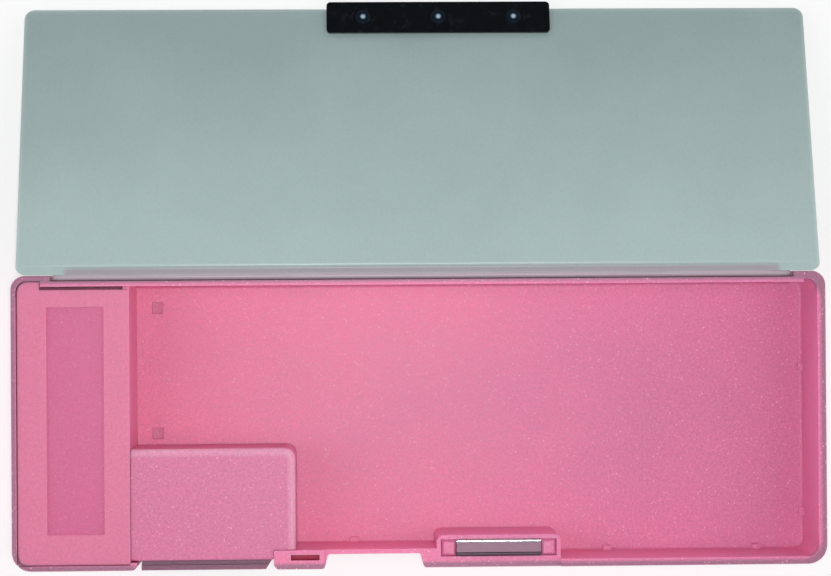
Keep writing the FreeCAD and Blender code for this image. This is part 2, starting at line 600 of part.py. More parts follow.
def make_drawer_housing():
    """The cap over the drawer: a deck on a left, a rear and a right wall, open to the front."""
    body = new_body("drawer_housing")
    ledge_side = f"({LEDGE_REAR} + sizes.seat_gap)"
    outline = [
        (HOUSING_LEFT, HOUSING_FRONT),
        (DECK_RIGHT, HOUSING_FRONT),
        (DECK_RIGHT, ledge_side),
        (HOUSING_RIGHT, ledge_side),
        (HOUSING_RIGHT, HOUSING_REAR),
        (HOUSING_LEFT, HOUSING_REAR),
    ]
    add(body, "cap", [outline], FLOOR, HOUSING_TOP)
    free_corner = upright_edges(body, [(HOUSING_RIGHT, HOUSING_REAR)])
    fillet(body, "free_corner", free_corner, "sizes.housing_corner")
    past_front = f"({HOUSING_FRONT} - sizes.cut_past)"
    bay_right = f"({OPENING_RIGHT} + sizes.seat_gap)"
    cut(body, "bay", [box(OPENING_LEFT, bay_right, STOP_LIP_REAR, BAY_REAR)], FLOOR, DECK_UNDER)
    cut(body, "mouth", [box(OPENING_LEFT, bay_right, past_front, STOP_LIP_REAR)], FLOOR, MOUTH_TOP)
    side_room = box(
        f"({bay_right} + sizes.guide_wall)",
        f"({HOUSING_RIGHT} - sizes.housing_wall)",
        f"({ledge_side} + sizes.housing_wall)",
        BAY_REAR,
    )
    cut(body, "side_room", [side_room], FLOOR, DECK_UNDER)

    def on_free_edge(middle):
        at_rear = middle.y > number(f"{HOUSING_REAR} - sizes.housing_corner")
        at_right = middle.x > number(f"{HOUSING_RIGHT} - sizes.housing_corner")
        return at_rear or (at_right and middle.y > number(f"{ledge_side} + sizes.cut_past"))

    fillet(body, "top_edges", level_edges(body, HOUSING_TOP, on_free_edge), "sizes.housing_round")

    def on_front_edge(middle):
        return near(middle.y, number(HOUSING_FRONT))

    fillet(body, "front_edge", level_edges(body, HOUSING_TOP, on_front_edge), "sizes.rim_round")
    return body


def make_drawer_tray():
    """The small drawer, open at the top, with a stop tab at its rear and a catch dimple in its side."""
    body = new_body("drawer_tray")
    add(body, "block", [box(DRAWER_LEFT, DRAWER_RIGHT, DRAWER_FRONT, DRAWER_REAR)], DRAWER_UNDER, DRAWER_TOP)
    wall = "sizes.drawer_wall"
    inside = box(
        f"({DRAWER_LEFT} + {wall})",
        f"({DRAWER_RIGHT} - {wall})",
        f"({DRAWER_FRONT} + {wall})",
        f"({DRAWER_REAR} - {wall})",
    )
    cut(body, "inside", [inside], f"({DRAWER_UNDER} + {wall})", DRAWER_TOP)
    middle = f"(({DRAWER_LEFT} + {DRAWER_RIGHT}) / 2)"
    half = "sizes.stop_length / 2"
    tab = box(f"{middle} - {half}", f"{middle} + {half}", f"({DRAWER_REAR} - {wall})", DRAWER_REAR)
    add(body, "stop_tab", [tab], DRAWER_TOP, STOP_TOP)
    dimple = box(
        f"({DRAWER_RIGHT} - sizes.dimple_deep)",
        f"({DRAWER_RIGHT} + sizes.cut_past)",
        f"({SLOT_FRONT} - sizes.slide_gap)",
        f"({SLOT_REAR} + sizes.slide_gap)",
    )
    dimple_high = f"({RIM} - sizes.nose_drop + sizes.slide_gap)"
    dimple_low = f"({RIM} - sizes.nose_drop - sizes.nose_height - sizes.slide_gap)"
    cut(body, "catch_dimple", [dimple], dimple_low, dimple_high)
    return body


def make_drawer_front():
    """The drawer's mauve front: a lip along its top, a slanted right end and a finger groove."""
    body = new_body("drawer_front")
    left = f"({OPENING_LEFT} + sizes.front_left_gap)"
    right = f"({OPENING_RIGHT} - sizes.front_right_gap)"
    slanted = f"({right} - sizes.front_slant)"
    top = f"({RIM} - sizes.front_drop)"
    outline = [(left, FRONT), (slanted, FRONT), (right, DRAWER_FRONT), (left, DRAWER_FRONT)]
    add(body, "panel", [outline], "sizes.front_clear", top)
    lip_rear = f"({FRONT} + sizes.lip_thick)"
    past_rear = f"({DRAWER_FRONT} + sizes.cut_past)"
    past_left = f"({left} - sizes.cut_past)"
    past_right = f"({right} + sizes.cut_past)"
    cut(body, "step", [box(past_left, past_right, lip_rear, past_rear)], f"({top} - sizes.front_step)", top)
    middle = f"(({left} + {slanted}) / 2)"
    half = "sizes.pull_length / 2"
    groove = box(
        f"{middle} - {half}",
        f"{middle} + {half}",
        f"({FRONT} - sizes.cut_past)",
        f"({FRONT} + sizes.pull_deep)",
    )
    groove_top = f"({top} - sizes.pull_drop)"
    cut(body, "finger_groove", [groove], f"({groove_top} - sizes.pull_height)", groove_top)
    return body


def make_drawer_catch():
    """The springy tongue pressed into the ledge's slot, with a nose towards the drawer's side."""
    body = new_body("drawer_catch")
    gap = "sizes.seat_gap"
    front = f"({SLOT_FRONT} + {gap})"
    rear = f"({SLOT_REAR} - {gap})"
    left = f"({SLOT_LEFT} + {gap})"
    tongue = box(left, f"({SLOT_RIGHT} - {gap})", front, rear)
    add(body, "tongue", [tongue], f"({RIM} - sizes.slot_deep)", f"({RIM} - sizes.catch_drop)")
    nose_tip = f"({DRAWER_RIGHT} + sizes.slide_gap)"
    nose = box(nose_tip, f"({left} + {gap})", front, rear)
    nose_top = f"({RIM} - sizes.nose_drop)"
    add(body, "nose", [nose], f"({nose_top} - sizes.nose_height)", nose_top)
    return body


def make_magnet_holder():
    """The carrier in the magnet pocket: a floor and two end blocks with sloped tops."""
    body = new_body("magnet_holder")
    gap = "sizes.seat_gap"
    left = f"({POCKET_LEFT} + {gap})"
    right = f"({POCKET_RIGHT} - {gap})"
    front = f"({POCKET_FRONT} + {gap})"
    rear = f"({POCKET_REAR} - {gap})"
    top = f"({LOW_RIM} - sizes.holder_drop)"
    add(body, "block", [box(left, right, front, rear)], POCKET_FLOOR, top)
    past_front = f"({front} - sizes.cut_past)"
    past_rear = f"({rear} + sizes.cut_past)"
    cradle = box(f"({CRADLE_LEFT} - {gap})", f"({CRADLE_RIGHT} + {gap})", past_front, past_rear)
    cut(body, "cradle", [cradle], f"({POCKET_FLOOR} + sizes.holder_web)", top)
    dress(body, "sloped_tops", "Chamfer", level_edges(body, top), "Size", "sizes.holder_chamfer")
    return body


def make_magnet_parts():
    """The magnet bar and the steel pole strips on either side of it."""
    seat = f"({POCKET_FLOOR} + sizes.holder_web)"
    pole_top = f"({LOW_RIM} + sizes.pole_rise)"
    front = f"({POCKET_FRONT} + sizes.seat_gap)"
    rear = f"({POCKET_REAR} - sizes.seat_gap)"
    bar_front = f"({front} + sizes.pole_thick)"
    bar_rear = f"({rear} - sizes.pole_thick)"
    bar = new_body("magnet_bar")
    bar_top = f"({pole_top} - sizes.magnet_sink)"
    add(bar, "bar", [box(CRADLE_LEFT, CRADLE_RIGHT, bar_front, bar_rear)], seat, bar_top)
    made = [bar]
    for name, low, high in (("front_pole_strip", front, bar_front), ("rear_pole_strip", bar_rear, rear)):
        strip = new_body(name)
        add(strip, "strip", [box(CRADLE_LEFT, CRADLE_RIGHT, low, high)], seat, pole_top)
        long_edges = level_edges(strip, pole_top, lambda p: near(p.x, number(MAGNET_MIDDLE)))
        fillet(strip, "rounded_top", long_edges, "sizes.pole_round")
        made.append(strip)
    return made


def make_hinge_strip():
    """The vinyl strip bonded into the rear recess, with the fold at its top."""
    body = new_body("hinge_strip")
    left = f"({RECESS_LEFT} + sizes.strip_margin)"
    right = f"({RECESS_RIGHT} - sizes.strip_margin)"
    outside = f"({RECESS} + sizes.strip_thick)"
    top = f"({RIM} - sizes.strip_top_gap)"
    add(body, "web", [box(left, right, RECESS, outside)], "sizes.strip_bottom", top)
    fold = box(left, right, outside, f"({outside} + sizes.strip_lip)")
    add(body, "fold", [fold], f"({top} - sizes.strip_thick)", top)
    return body


def lid_rest_placement():
    """Where the open lid lies: turned back about the hinge line until its free edge meets the table."""
    reach = number(f"-{LID_FREE} - sizes.lid_round")
    rise = number(f"{LID_TOP} - sizes.lid_round")
    drop = number(f"{HINGE_Z} - sizes.lid_round")
    slope = math.degrees(math.asin(drop / math.hypot(reach, rise)) - math.atan2(rise, reach))
    turn = Rotation(Vector(1, 0, 0), -(180.0 + slope))
    return Placement(Vector(0, number(HINGE_Y), number(HINGE_Z)), turn)


def lid_panel(inset):
    """The lid's outline, drawn in by an inset all round."""
    return box(
        f"({LID_LEFT} + {inset})",
        f"({LID_RIGHT} - {inset})",
        f"({LID_FREE} + {inset})",
        f"({LID_REAR} - {inset})",
    )


def rivet_places():
    """The centres of the rivets on the lid."""
    return [(x, RIVET_Y) for x in RIVET_XS]


def rivet_hole():
    """The diameter of the holes that the rivet shanks pass through."""
    return "(sizes.rivet_shank + 2 * sizes.fill_gap)"


def inner_corner():
    """The corner radius of what lies inside the lid's welded edge."""
    return "(sizes.lid_corner - sizes.weld_margin)"


def make_lid_inner_skin():
    """The flat vinyl face inside the lid, with the flange that runs to the hinge line."""
    body = new_body("lid_inner_skin")
    panel = lid_panel("0")
    add(body, "face", [panel], "0", "sizes.skin_thick")
    fillet(body, "corners", upright_edges(body, panel), "sizes.lid_corner")
    flange = box(
        f"({RECESS_LEFT} + sizes.strip_margin)",
        f"({RECESS_RIGHT} - sizes.strip_margin)",
        f"({LID_REAR} - sizes.weld_margin)",
        "(-sizes.flange_start)",
    )
    add(body, "flange", [flange], "0", "sizes.skin_thick")
    cut_holes(body, "rivet_holes", rivet_places(), rivet_hole(), "0", "sizes.skin_thick")
    return body


def make_lid_board():
    """The stiff board behind the inner skin."""
    body = new_body("lid_board")
    panel = lid_panel("(sizes.weld_margin + sizes.fill_gap)")
    add(body, "board", [panel], BOARD_UNDER, FOAM_UNDER)
    fillet(body, "corners", upright_edges(body, panel), inner_corner())
    cut_holes(body, "rivet_holes", rivet_places(), rivet_hole(), BOARD_UNDER, FOAM_UNDER)
    return body


def make_lid_foam():
    """The foam over the board, rounded at its edge and cut away over the rivets."""
    body = new_body("lid_foam")
    panel = lid_panel("(sizes.weld_margin + sizes.fill_gap)")
    add(body, "foam", [panel], FOAM_UNDER, FOAM_TOP)
    fillet(body, "corners", upright_edges(body, panel), inner_corner())
    fillet(body, "edge", level_edges(body, FOAM_TOP), FOAM_ROUND)
    half = "(sizes.washer_outer / 2 + sizes.rivet_room)"
    past_free = f"({LID_FREE} - sizes.cut_past)"
    notches = [box(f"{x} - {half}", f"{x} + {half}", past_free, f"({RIVET_Y} + {half})") for x in RIVET_XS]
    cut(body, "rivet_room", notches, FOAM_UNDER, FOAM_TOP)
    return body


def rounded_panel(name, inset, top, corner, edge):
    """A panel of the lid's outline from the inner skin up to a height, rounded at its corners and top."""
    body = new_body(name)
    panel = lid_panel(inset)
    add(body, f"{name}_panel", [panel], BOARD_UNDER, top)
    fillet(body, f"{name}_corners", upright_edges(body, panel), corner)
    fillet(body, f"{name}_edge", level_edges(body, top), edge)
    return body


def make_lid_outer_skin():
    """The padded vinyl shell on the lid's outer side, welded to the inner skin round the edge."""
    shell = rounded_panel("lid_outer_shell", "0", LID_TOP, "sizes.lid_corner", "sizes.lid_round")
    room = rounded_panel("lid_room", "sizes.weld_margin", SKIN_INSIDE, inner_corner(), FOAM_ROUND)
    skin = doc.addObject("Part::Cut", "lid_outer_skin")
    skin.Base = shell
    skin.Tool = room
    skin.Label = "lid_outer_skin"
    doc.recompute()
    return skin


def make_striker_plate():
    """The black steel plate along the lid's free edge."""
    body = new_body("striker_plate")
    panel = box(PLATE_LEFT, PLATE_RIGHT, PLATE_FREE, PLATE_REAR)
    add(body, "plate", [panel], "(-sizes.plate_thick)", "0")
    fillet(body, "corners", upright_edges(body, panel), "sizes.plate_corner")
    cut_holes(body, "rivet_holes", rivet_places(), rivet_hole(), "(-sizes.plate_thick)", "0")
    return body


def make_striker_rivets():
    """The dome rivets through the plate, the inner skin and the board, clinched under the foam."""
    body = new_body("striker_rivets")
    body.AllowCompound = True
    head_face = "(-sizes.plate_thick - sizes.rivet_dome)"
    add_discs(body, "heads", rivet_places(), "sizes.rivet_head", head_face, "(-sizes.plate_thick)")
    fillet(body, "domes", level_edges(body, head_face), "(sizes.rivet_dome - sizes.fill_gap)")
    add_discs(body, "shanks", rivet_places(), "sizes.rivet_shank", "(-sizes.plate_thick)", WASHER_TOP)
    tail_top = f"({WASHER_TOP} + sizes.tail_thick)"
    add_discs(body, "tails", rivet_places(), "sizes.rivet_tail", WASHER_TOP, tail_top)
    return body


def make_rivet_washers():
    """The steel washers between the board and the clinched ends of the rivets."""
    body = new_body("rivet_washers")
    body.AllowCompound = True
    add_discs(body, "discs", rivet_places(), "sizes.washer_outer", FOAM_UNDER, WASHER_TOP)
    cut_holes(body, "holes", rivet_places(), rivet_hole(), FOAM_UNDER, WASHER_TOP)
    return body


def make_lid():
    """The lid's pieces, laid back in the open position."""
    pieces = [
        make_lid_inner_skin(),
        make_lid_board(),
        make_lid_foam(),
        make_lid_outer_skin(),
        make_striker_plate(),
        make_striker_rivets(),
        make_rivet_washers(),
    ]
    resting = lid_rest_placement()
    for piece in pieces:
        piece.Placement = resting
    return pieces


def check_and_write(pieces):
    """Stops on any failed object or broken shape, then writes one file for each piece."""
    doc.recompute()
    for item in doc.Objects:
        if "Invalid" in item.State or "Error" in item.State:
            raise RuntimeError(f"{item.Name} failed: {item.State}")
    for piece in pieces:
        if piece.Shape.isNull() or not piece.Shape.isValid() or not piece.Shape.Solids:
            raise RuntimeError(f"{piece.Label} has no valid solid")
    os.makedirs("parts", exist_ok=True)
    for piece in pieces:
        piece.Shape.exportStep(f"parts/{piece.Label}.step")
        print(f"{piece.Label}: {len(piece.Shape.Solids)} solid, {piece.Shape.Volume:.1f} mm3")


def main():
    """Builds every piece in the frame of the tray's base and writes them."""
    pieces = [
        make_tray_shell(),
        make_end_cover(),
        make_drawer_housing(),
        make_drawer_tray(),
        make_drawer_front(),
        make_drawer_catch(),
        make_magnet_holder(),
        *make_magnet_parts(),
        make_hinge_strip(),
        *make_lid(),
    ]
    check_and_write(pieces)
    print(f"closed lid turns {math.degrees(lid_rest_placement().Rotation.Angle):.3f} degrees from rest")


main()
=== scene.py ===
"""Looks of a moulded pencil box with a padded vinyl lid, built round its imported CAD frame."""

import json
import math

import bmesh
import bpy
import numpy as np
from bpy.props import FloatProperty, FloatVectorProperty, PointerProperty
from mathutils import Matrix, Vector


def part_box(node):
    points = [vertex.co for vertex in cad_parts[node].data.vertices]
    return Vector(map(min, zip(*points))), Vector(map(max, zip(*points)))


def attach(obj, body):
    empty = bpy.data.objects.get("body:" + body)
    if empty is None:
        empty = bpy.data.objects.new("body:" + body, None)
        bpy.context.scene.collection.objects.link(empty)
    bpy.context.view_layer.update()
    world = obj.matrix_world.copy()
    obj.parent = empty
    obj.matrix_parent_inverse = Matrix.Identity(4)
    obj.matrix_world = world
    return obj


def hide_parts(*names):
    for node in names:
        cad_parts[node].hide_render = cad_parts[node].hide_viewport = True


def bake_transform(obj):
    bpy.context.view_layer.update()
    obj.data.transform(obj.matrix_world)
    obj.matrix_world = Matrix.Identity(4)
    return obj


bl_info = {
    "name": "Pencil box looks",
    "version": (1, 0, 0),
    "blender": (4, 5, 0),
    "location": "3D View > Sidebar > Pencil Box",
    "description": "Finishes and stages the mouldings, lid, hinge flap, striker and catch of a pencil box",
    "category": "Object",
}

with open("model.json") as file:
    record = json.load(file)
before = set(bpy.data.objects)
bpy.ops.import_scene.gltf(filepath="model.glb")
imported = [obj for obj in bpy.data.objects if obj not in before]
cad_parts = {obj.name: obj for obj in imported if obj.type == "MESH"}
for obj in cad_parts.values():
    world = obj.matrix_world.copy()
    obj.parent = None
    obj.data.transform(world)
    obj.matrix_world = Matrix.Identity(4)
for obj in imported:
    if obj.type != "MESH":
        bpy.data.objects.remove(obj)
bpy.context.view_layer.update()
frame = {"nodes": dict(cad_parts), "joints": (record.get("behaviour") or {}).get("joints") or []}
MM = 0.001

# The lid's frame: the hinge line, the way out along the open lid, and the way up from its inner face.
LID_HINGE = next(joint for joint in frame["joints"] if joint["name"] == "lid_hinge")
HINGE_LINE = Vector(LID_HINGE["pos_m"])
LID_SLOPE = math.radians(LID_HINGE["range_deg"][1] - 180.0)
LID_OUT = Vector((0.0, math.cos(LID_SLOPE), -math.sin(LID_SLOPE)))
LID_UP = Vector((0.0, math.sin(LID_SLOPE), math.cos(LID_SLOPE)))


def cad_box(name):
    """A CAD node's lowest and highest corner at rest, in millimetres to a thousandth."""
    return [[round(c / MM, 3) for c in corner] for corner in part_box(name)]


TRAY_LOW, TRAY_HIGH = cad_box("tray_shell")
COVER_LOW, COVER_HIGH = cad_box("end_cover")
HOUSING_HIGH = cad_box("drawer_housing")[1]
STRIP_LOW, STRIP_HIGH = cad_box("hinge_strip")
SKIN_HIGH = cad_box("lid_inner_skin")[1]
PLATE_LOW, PLATE_HIGH = cad_box("striker_plate")
RIVETS_LOW, RIVETS_HIGH = cad_box("striker_rivets")


def linear(hex_colour):
    """An sRGB hex colour as linear red, green and blue."""
    channels = [int(hex_colour[i:i + 2], 16) / 255 for i in (0, 2, 4)]
    return tuple(c / 12.92 if c <= 0.04045 else ((c + 0.055) / 1.055) ** 2.4 for c in channels)


def colour_prop(name, description, hex_colour):
    """A colour that a user may change."""
    return FloatVectorProperty(
        name=name, description=description, subtype="COLOR", size=3, min=0, max=1,
        default=linear(hex_colour),
    )


def size_prop(name, description, millimetres):
    """A length that a user may change, kept in metres."""
    return FloatProperty(
        name=name, description=description, subtype="DISTANCE", unit="LENGTH", min=0,
        default=millimetres * MM,
    )


class MouldingLook(bpy.types.PropertyGroup):
    """The injection-moulded plastic pieces."""

    # Painted light and shade: the tray's pink runs paler to the left end and deeper to the right.
    pink: colour_prop("Pink", "Body colour of the moulded tray at its deeper end", "da7faa")
    painted_light_pink: colour_prop("Pale pink", "Body colour where it has faded", "ec83aa")
    # The housing's pink is a little more mauve than the tray's, and darkened as painted shade for its higher
    # top.
    deck_shaded_pink: colour_prop("Deck pink", "Duller pink of the drawer housing", "da7ba2")
    # Painted shade: the end cover's pink is darkened to an even, duller tone.
    cover_shaded_pink: colour_prop("Cover pink", "Duller pink of the end cover", "e07da0")
    # Painted shade and greyed reflection on the tray's outer edge and rear rim.
    shaded_edge_mauve: colour_prop("Edge mauve", "Dull mauve of the handled outer edge", "a4708a")
    pad_pink: colour_prop("Pad pink", "Smooth label pad on the end cover", "da6c98")
    # Painted glints: pale specks mixed into the colours of the mouldings.
    painted_glint: colour_prop("Glint", "Bright specks where the moulded texture catches light", "ffc4d6")
    # Painted highlight along the drawer housing's rounded right and rear edges.
    highlit: colour_prop("Rubbed pink", "Pale pink of the rubbed edge of the drawer housing", "e3a0bb")
    # Painted shade: the catch tongue is coloured deep red for the shade in its slot.
    slot_shade_red: colour_prop("Slot red", "Deep red of the catch tongue", "b01848")
    # Painted shade: the drawer front is pink plastic drawn darker and greyer, as mauve.
    mauve: colour_prop("Mauve", "Colour of the drawer front", "865c70")
    grain: size_prop("Grain", "Width of the moulded texture's grain", 0.7)
    edge: size_prop("Edge", "Softness of the moulded edges", 0.3)


class VinylLook(bpy.types.PropertyGroup):
    """The padded lid and its hinge flap."""

    film: colour_prop("Film", "Grey-green of the vinyl film", "a8bcbb")
    # Painted shade: the film darkens towards the lid's free edge, mixed with its cloudiness.
    film_painted_shade: colour_prop("Film shade", "Darker cloudiness in the film", "91a5a4")
    # The flap's lilac and the lip's grey are the film tinted by painted reflection of the pink tray and by
    # painted shade.
    flap: colour_prop("Flap", "Lilac of the bare hinge flap", "b2a3ae")
    lip: colour_prop("Lip", "Grey of the pad's bare lip", "a29ca3")
    grain: size_prop("Grain", "Width of the embossed grain", 0.8)
    face_round: size_prop("Face rounding", "Rounding of the pad at its inner face", 1.5)
    back_round: size_prop("Back rounding", "Rounding of the pad at its outer side", 2.6)
    thickness: size_prop("Thickness", "Thickness of the padded lid", 4.0)
    pucker: size_prop("Pucker", "Height of the puckers along the welded edge", 0.16)


class MetalLook(bpy.types.PropertyGroup):
    """The striker plate, its rivets and the magnetic catch."""

    enamel: colour_prop("Enamel", "Black enamel of the striker plate", "04070d")
    rivet: colour_prop("Rivet", "Blue-black of the rivet heads", "0f1a24")
    plate: colour_prop("Plating", "Bright plating of the pole strips", "d8d4d8")
    # Painted shade: the front pole strip is the same plating as the rear one, drawn dark.
    shaded_plate: colour_prop("Dull plating", "Worn plating of the front pole strip", "5d4d59")
    magnet: colour_prop("Magnet", "Ground face of the magnet bar", "836475")
    # Painted glint on the rivets' crowns.
    painted_crown_glint: colour_prop("Crown", "Blue-white where the rivets' crowns are rubbed", "b4cfe6")
    zinc: colour_prop("Zinc", "Zinc plate on the backing washers", "b4b7ba")


class StageLook(bpy.types.PropertyGroup):
    """The camera, lamps and floor."""

    camera_place: FloatVectorProperty(
        name="Camera", description="Where the lens is", subtype="XYZ", unit="LENGTH",
        default=(-0.0202, 0.0334, 0.6755),
    )
    camera_turn: FloatVectorProperty(
        name="Turn", description="Lean of the lens from straight down, and turn of the picture",
        subtype="EULER", unit="ROTATION", default=tuple(math.radians(a) for a in (0.35, -1.67, -0.4)),
    )
    lens: FloatProperty(name="Lens", description="Focal length in mm on a 36 mm frame", default=99.9)
    floor: colour_prop("Floor", "Pale floor", "fbfbfb")
    room: FloatProperty(name="Room light", description="Strength of the light from overhead", default=0.14)
    walls: FloatProperty(name="Wall light", description="Strength of the light from low down", default=1.6)
    key: FloatProperty(
        name="Key", description="Each soft lamp to a side", subtype="POWER", unit="POWER", default=1.35
    )
    flash: FloatProperty(
        name="Flash", description="Small lamp by the lens", subtype="POWER", unit="POWER", default=2.0
    )


class PencilBoxLook(bpy.types.PropertyGroup):
    """Everything that a user may change."""

    moulding: PointerProperty(type=MouldingLook)
    vinyl: PointerProperty(type=VinylLook)
    metal: PointerProperty(type=MetalLook)
    stage: PointerProperty(type=StageLook)


def node(tree, kind, inputs=None, **settings):
    """Adds a node, sets its settings, and fills or links its inputs."""
    made = tree.nodes.new(kind)
    for name, value in settings.items():
        setattr(made, name, value)
    for name, value in (inputs or {}).items():
        if isinstance(value, bpy.types.NodeSocket):
            tree.links.new(value, made.inputs[name])
        else:
            made.inputs[name].default_value = value
    return made


def new_material(name):
    """An empty node material and its tree."""
    material = bpy.data.materials.new(name)
    material.use_nodes = True
    material.node_tree.nodes.clear()
    return material, material.node_tree


def close_material(tree, shader_inputs):
    """The shader and the output of a material."""
    shader = node(tree, "ShaderNodeBsdfPrincipled", shader_inputs)
    node(tree, "ShaderNodeOutputMaterial", {"Surface": shader.outputs["BSDF"]})


def opaque(colour):
    """A colour with full alpha."""
    return (*colour, 1.0)


def per_mm(millimetres):
    """The texture scale at which a pattern repeats about once in that length."""
    return 1.0 / (millimetres * MM)


# Nearly all values of a noise texture lie between these.
NOISE_SPAN = {"From Min": 0.3, "From Max": 0.7}
WHITE = (1.0, 1.0, 1.0, 1.0)
# Taller than any piece, in metres.
ANY_HEIGHT = 1.0


def box_mask(tree, place, low, high, corner, soft):
    """1 inside an upright box with rounded corners, 0 outside, sizes in millimetres."""
    middle = (*((a + b) / 2 * MM for a, b in zip(low, high)), 0.0)
    inner = (*(((b - a) / 2 - corner) * MM for a, b in zip(low, high)), ANY_HEIGHT)
    moved = node(tree, "ShaderNodeVectorMath", {0: place, 1: middle}, operation="SUBTRACT")
    folded = node(tree, "ShaderNodeVectorMath", {0: moved.outputs[0]}, operation="ABSOLUTE")
    past = node(tree, "ShaderNodeVectorMath", {0: folded.outputs[0], 1: inner}, operation="SUBTRACT")
    outward = node(tree, "ShaderNodeVectorMath", {0: past.outputs[0], 1: (0, 0, 0)}, operation="MAXIMUM")
    reach = node(tree, "ShaderNodeVectorMath", {0: outward.outputs[0]}, operation="LENGTH")
    return node(tree, "ShaderNodeMapRange", {
        "Value": reach.outputs["Value"],
        "From Min": (corner - soft) * MM, "From Max": (corner + soft) * MM,
        "To Min": 1.0, "To Max": 0.0,
    }).outputs["Result"]


def cloudy_colour(tree, clouds, light_ramp, colour, cloud_and_lit_colour):
    """One colour that clouds over into another, more of it as the ramp of painted light and shade rises."""
    share = node(tree, "ShaderNodeMath", {0: clouds, 1: light_ramp}, operation="ADD", use_clamp=True)
    return node(
        tree, "ShaderNodeMix",
        {0: share.outputs["Value"], 6: opaque(colour), 7: opaque(cloud_and_lit_colour)}, data_type="RGBA",
    ).outputs[2]


def patched_colour(tree, place, height, body, patch):
    """The body colour with a patch: a box, its tint inside and around it, and how low it reaches in mm."""
    box, inside, outside, lowest = patch
    below = node(tree, "ShaderNodeMapRange", {
        "Value": height,
        "From Min": (lowest - PATCH_FADE) * MM, "From Max": lowest * MM,
        "To Min": float(inside is None), "To Max": 0.0,
    })
    mask = node(
        tree, "ShaderNodeMath",
        {0: box_mask(tree, place, *box), 1: below.outputs["Result"]}, operation="MAXIMUM",
    )
    around, within = (body if tint is None else opaque(tint) for tint in (outside, inside))
    return node(
        tree, "ShaderNodeMix", {0: mask.outputs["Value"], 6: around, 7: within}, data_type="RGBA"
    ).outputs[2]


def painted_glint_share(tree, place, cell_mm, glints):
    """How much painted glint each point has: bright dots in a few of the cells."""
    cells = node(tree, "ShaderNodeTexVoronoi", {"Vector": place, "Scale": per_mm(cell_mm)})
    chance = node(tree, "ShaderNodeSeparateColor", {"Color": cells.outputs["Color"]})
    bright = node(
        tree, "ShaderNodeMapRange",
        {"Value": chance.outputs["Red"], "From Min": 0.86, "From Max": 0.99, "To Max": glints},
    )
    dot = node(tree, "ShaderNodeMapRange", {
        "Value": cells.outputs["Distance"],
        "From Min": 0.18, "From Max": 0.42, "To Min": 1.0, "To Max": 0.0,
    })
    return node(
        tree, "ShaderNodeMath", {0: bright.outputs["Result"], 1: dot.outputs["Result"]}, operation="MULTIPLY"
    ).outputs["Value"]


# The places along the tray, in metres, between which its pink is painted lighter towards the left as painted
# light.
LIGHT_RAMP_ENDS = {"From Min": 0.11, "From Max": -0.02}
# The depth over which a patch's lower end fades out, in mm.
PATCH_FADE = 2.0
# How much darker and lighter than the body the deepest grain is drawn, and how much of that most pieces show.
GRAIN_DARK, GRAIN_LIGHT = 0.21, 0.19
USUAL_CONTRAST = 0.75


def moulded_plastic(
    name, look, colour, cloud_and_lit_colour, painted_glint, roughness, glints, patch=None, contrast=USUAL_CONTRAST
):
    """Polypropylene moulded against a finely spark-eroded tool.

    The eye sees a satin, slightly translucent skin with faint flow clouds, a fine even grain,
    painted glints where grain faces would meet the light, and edges that are never quite sharp.
    The colour is painted a little lighter towards the left end, as painted light. Contrast is how strongly
    the grain shows."""
    material, tree = new_material(name)
    place = node(tree, "ShaderNodeTexCoord").outputs["Object"]
    axes = node(tree, "ShaderNodeSeparateXYZ", {"Vector": place})
    clouds = node(tree, "ShaderNodeTexNoise", {"Vector": place, "Scale": per_mm(28.0), "Detail": 3.0})
    # Painted light: the pink is drawn lighter towards the left end.
    light_ramp = node(
        tree, "ShaderNodeMapRange", {"Value": axes.outputs["X"], **LIGHT_RAMP_ENDS, "To Min": -0.35, "To Max": 0.35}
    )
    body = cloudy_colour(tree, clouds.outputs["Fac"], light_ramp.outputs["Result"], colour, cloud_and_lit_colour)
    if patch:
        body = patched_colour(tree, place, axes.outputs["Z"], body, patch)
    # The real grit is near 0.1 mm; it is drawn at the grain's width so that it shows.
    grain_mm = look.grain / MM
    grain = node(
        tree, "ShaderNodeTexNoise",
        {"Vector": place, "Scale": per_mm(grain_mm), "Detail": 4.0, "Roughness": 0.7},
    ).outputs["Fac"]
    # Painted glints mixed into the body colour.
    glint_amount = painted_glint_share(tree, place, grain_mm * 0.9, glints)
    glinted = node(tree, "ShaderNodeMix", {0: glint_amount, 6: body, 7: opaque(painted_glint)}, data_type="RGBA")
    shade = node(tree, "ShaderNodeMapRange", {
        "Value": grain, **NOISE_SPAN,
        "To Min": 1.0 - GRAIN_DARK * contrast, "To Max": 1.0 + GRAIN_LIGHT * contrast,
    })
    grained = node(
        tree, "ShaderNodeMix",
        {0: 1.0, 6: glinted.outputs[2], 7: shade.outputs["Result"]},
        data_type="RGBA", blend_type="MULTIPLY",
    )
    rough = node(
        tree, "ShaderNodeMapRange",
        {"Value": grain, **NOISE_SPAN, "To Min": roughness - 0.07, "To Max": roughness + 0.09},
    )
    soft_edge = node(tree, "ShaderNodeBevel", {"Radius": look.edge}, samples=4)
    relief = node(
        tree, "ShaderNodeBump",
        {"Strength": 0.22, "Distance": 0.06 * MM, "Height": grain, "Normal": soft_edge.outputs["Normal"]},
    )
    close_material(tree, {
        "Base Color": grained.outputs[2],
        "Roughness": rough.outputs["Result"],
        "IOR": 1.49,
        "Specular IOR Level": 0.3,
        "Subsurface Weight": 0.6,
        "Subsurface Radius": (1.0, 0.45, 0.65),
        "Subsurface Scale": 3.5 * MM,
        "Normal": relief.outputs["Normal"],
    })
    return material


# The lid's hinge side and free edge, front to rear in metres, between which painted shade darkens its film.
SHADE_ENDS = {"From Min": 0.05, "From Max": 0.115}


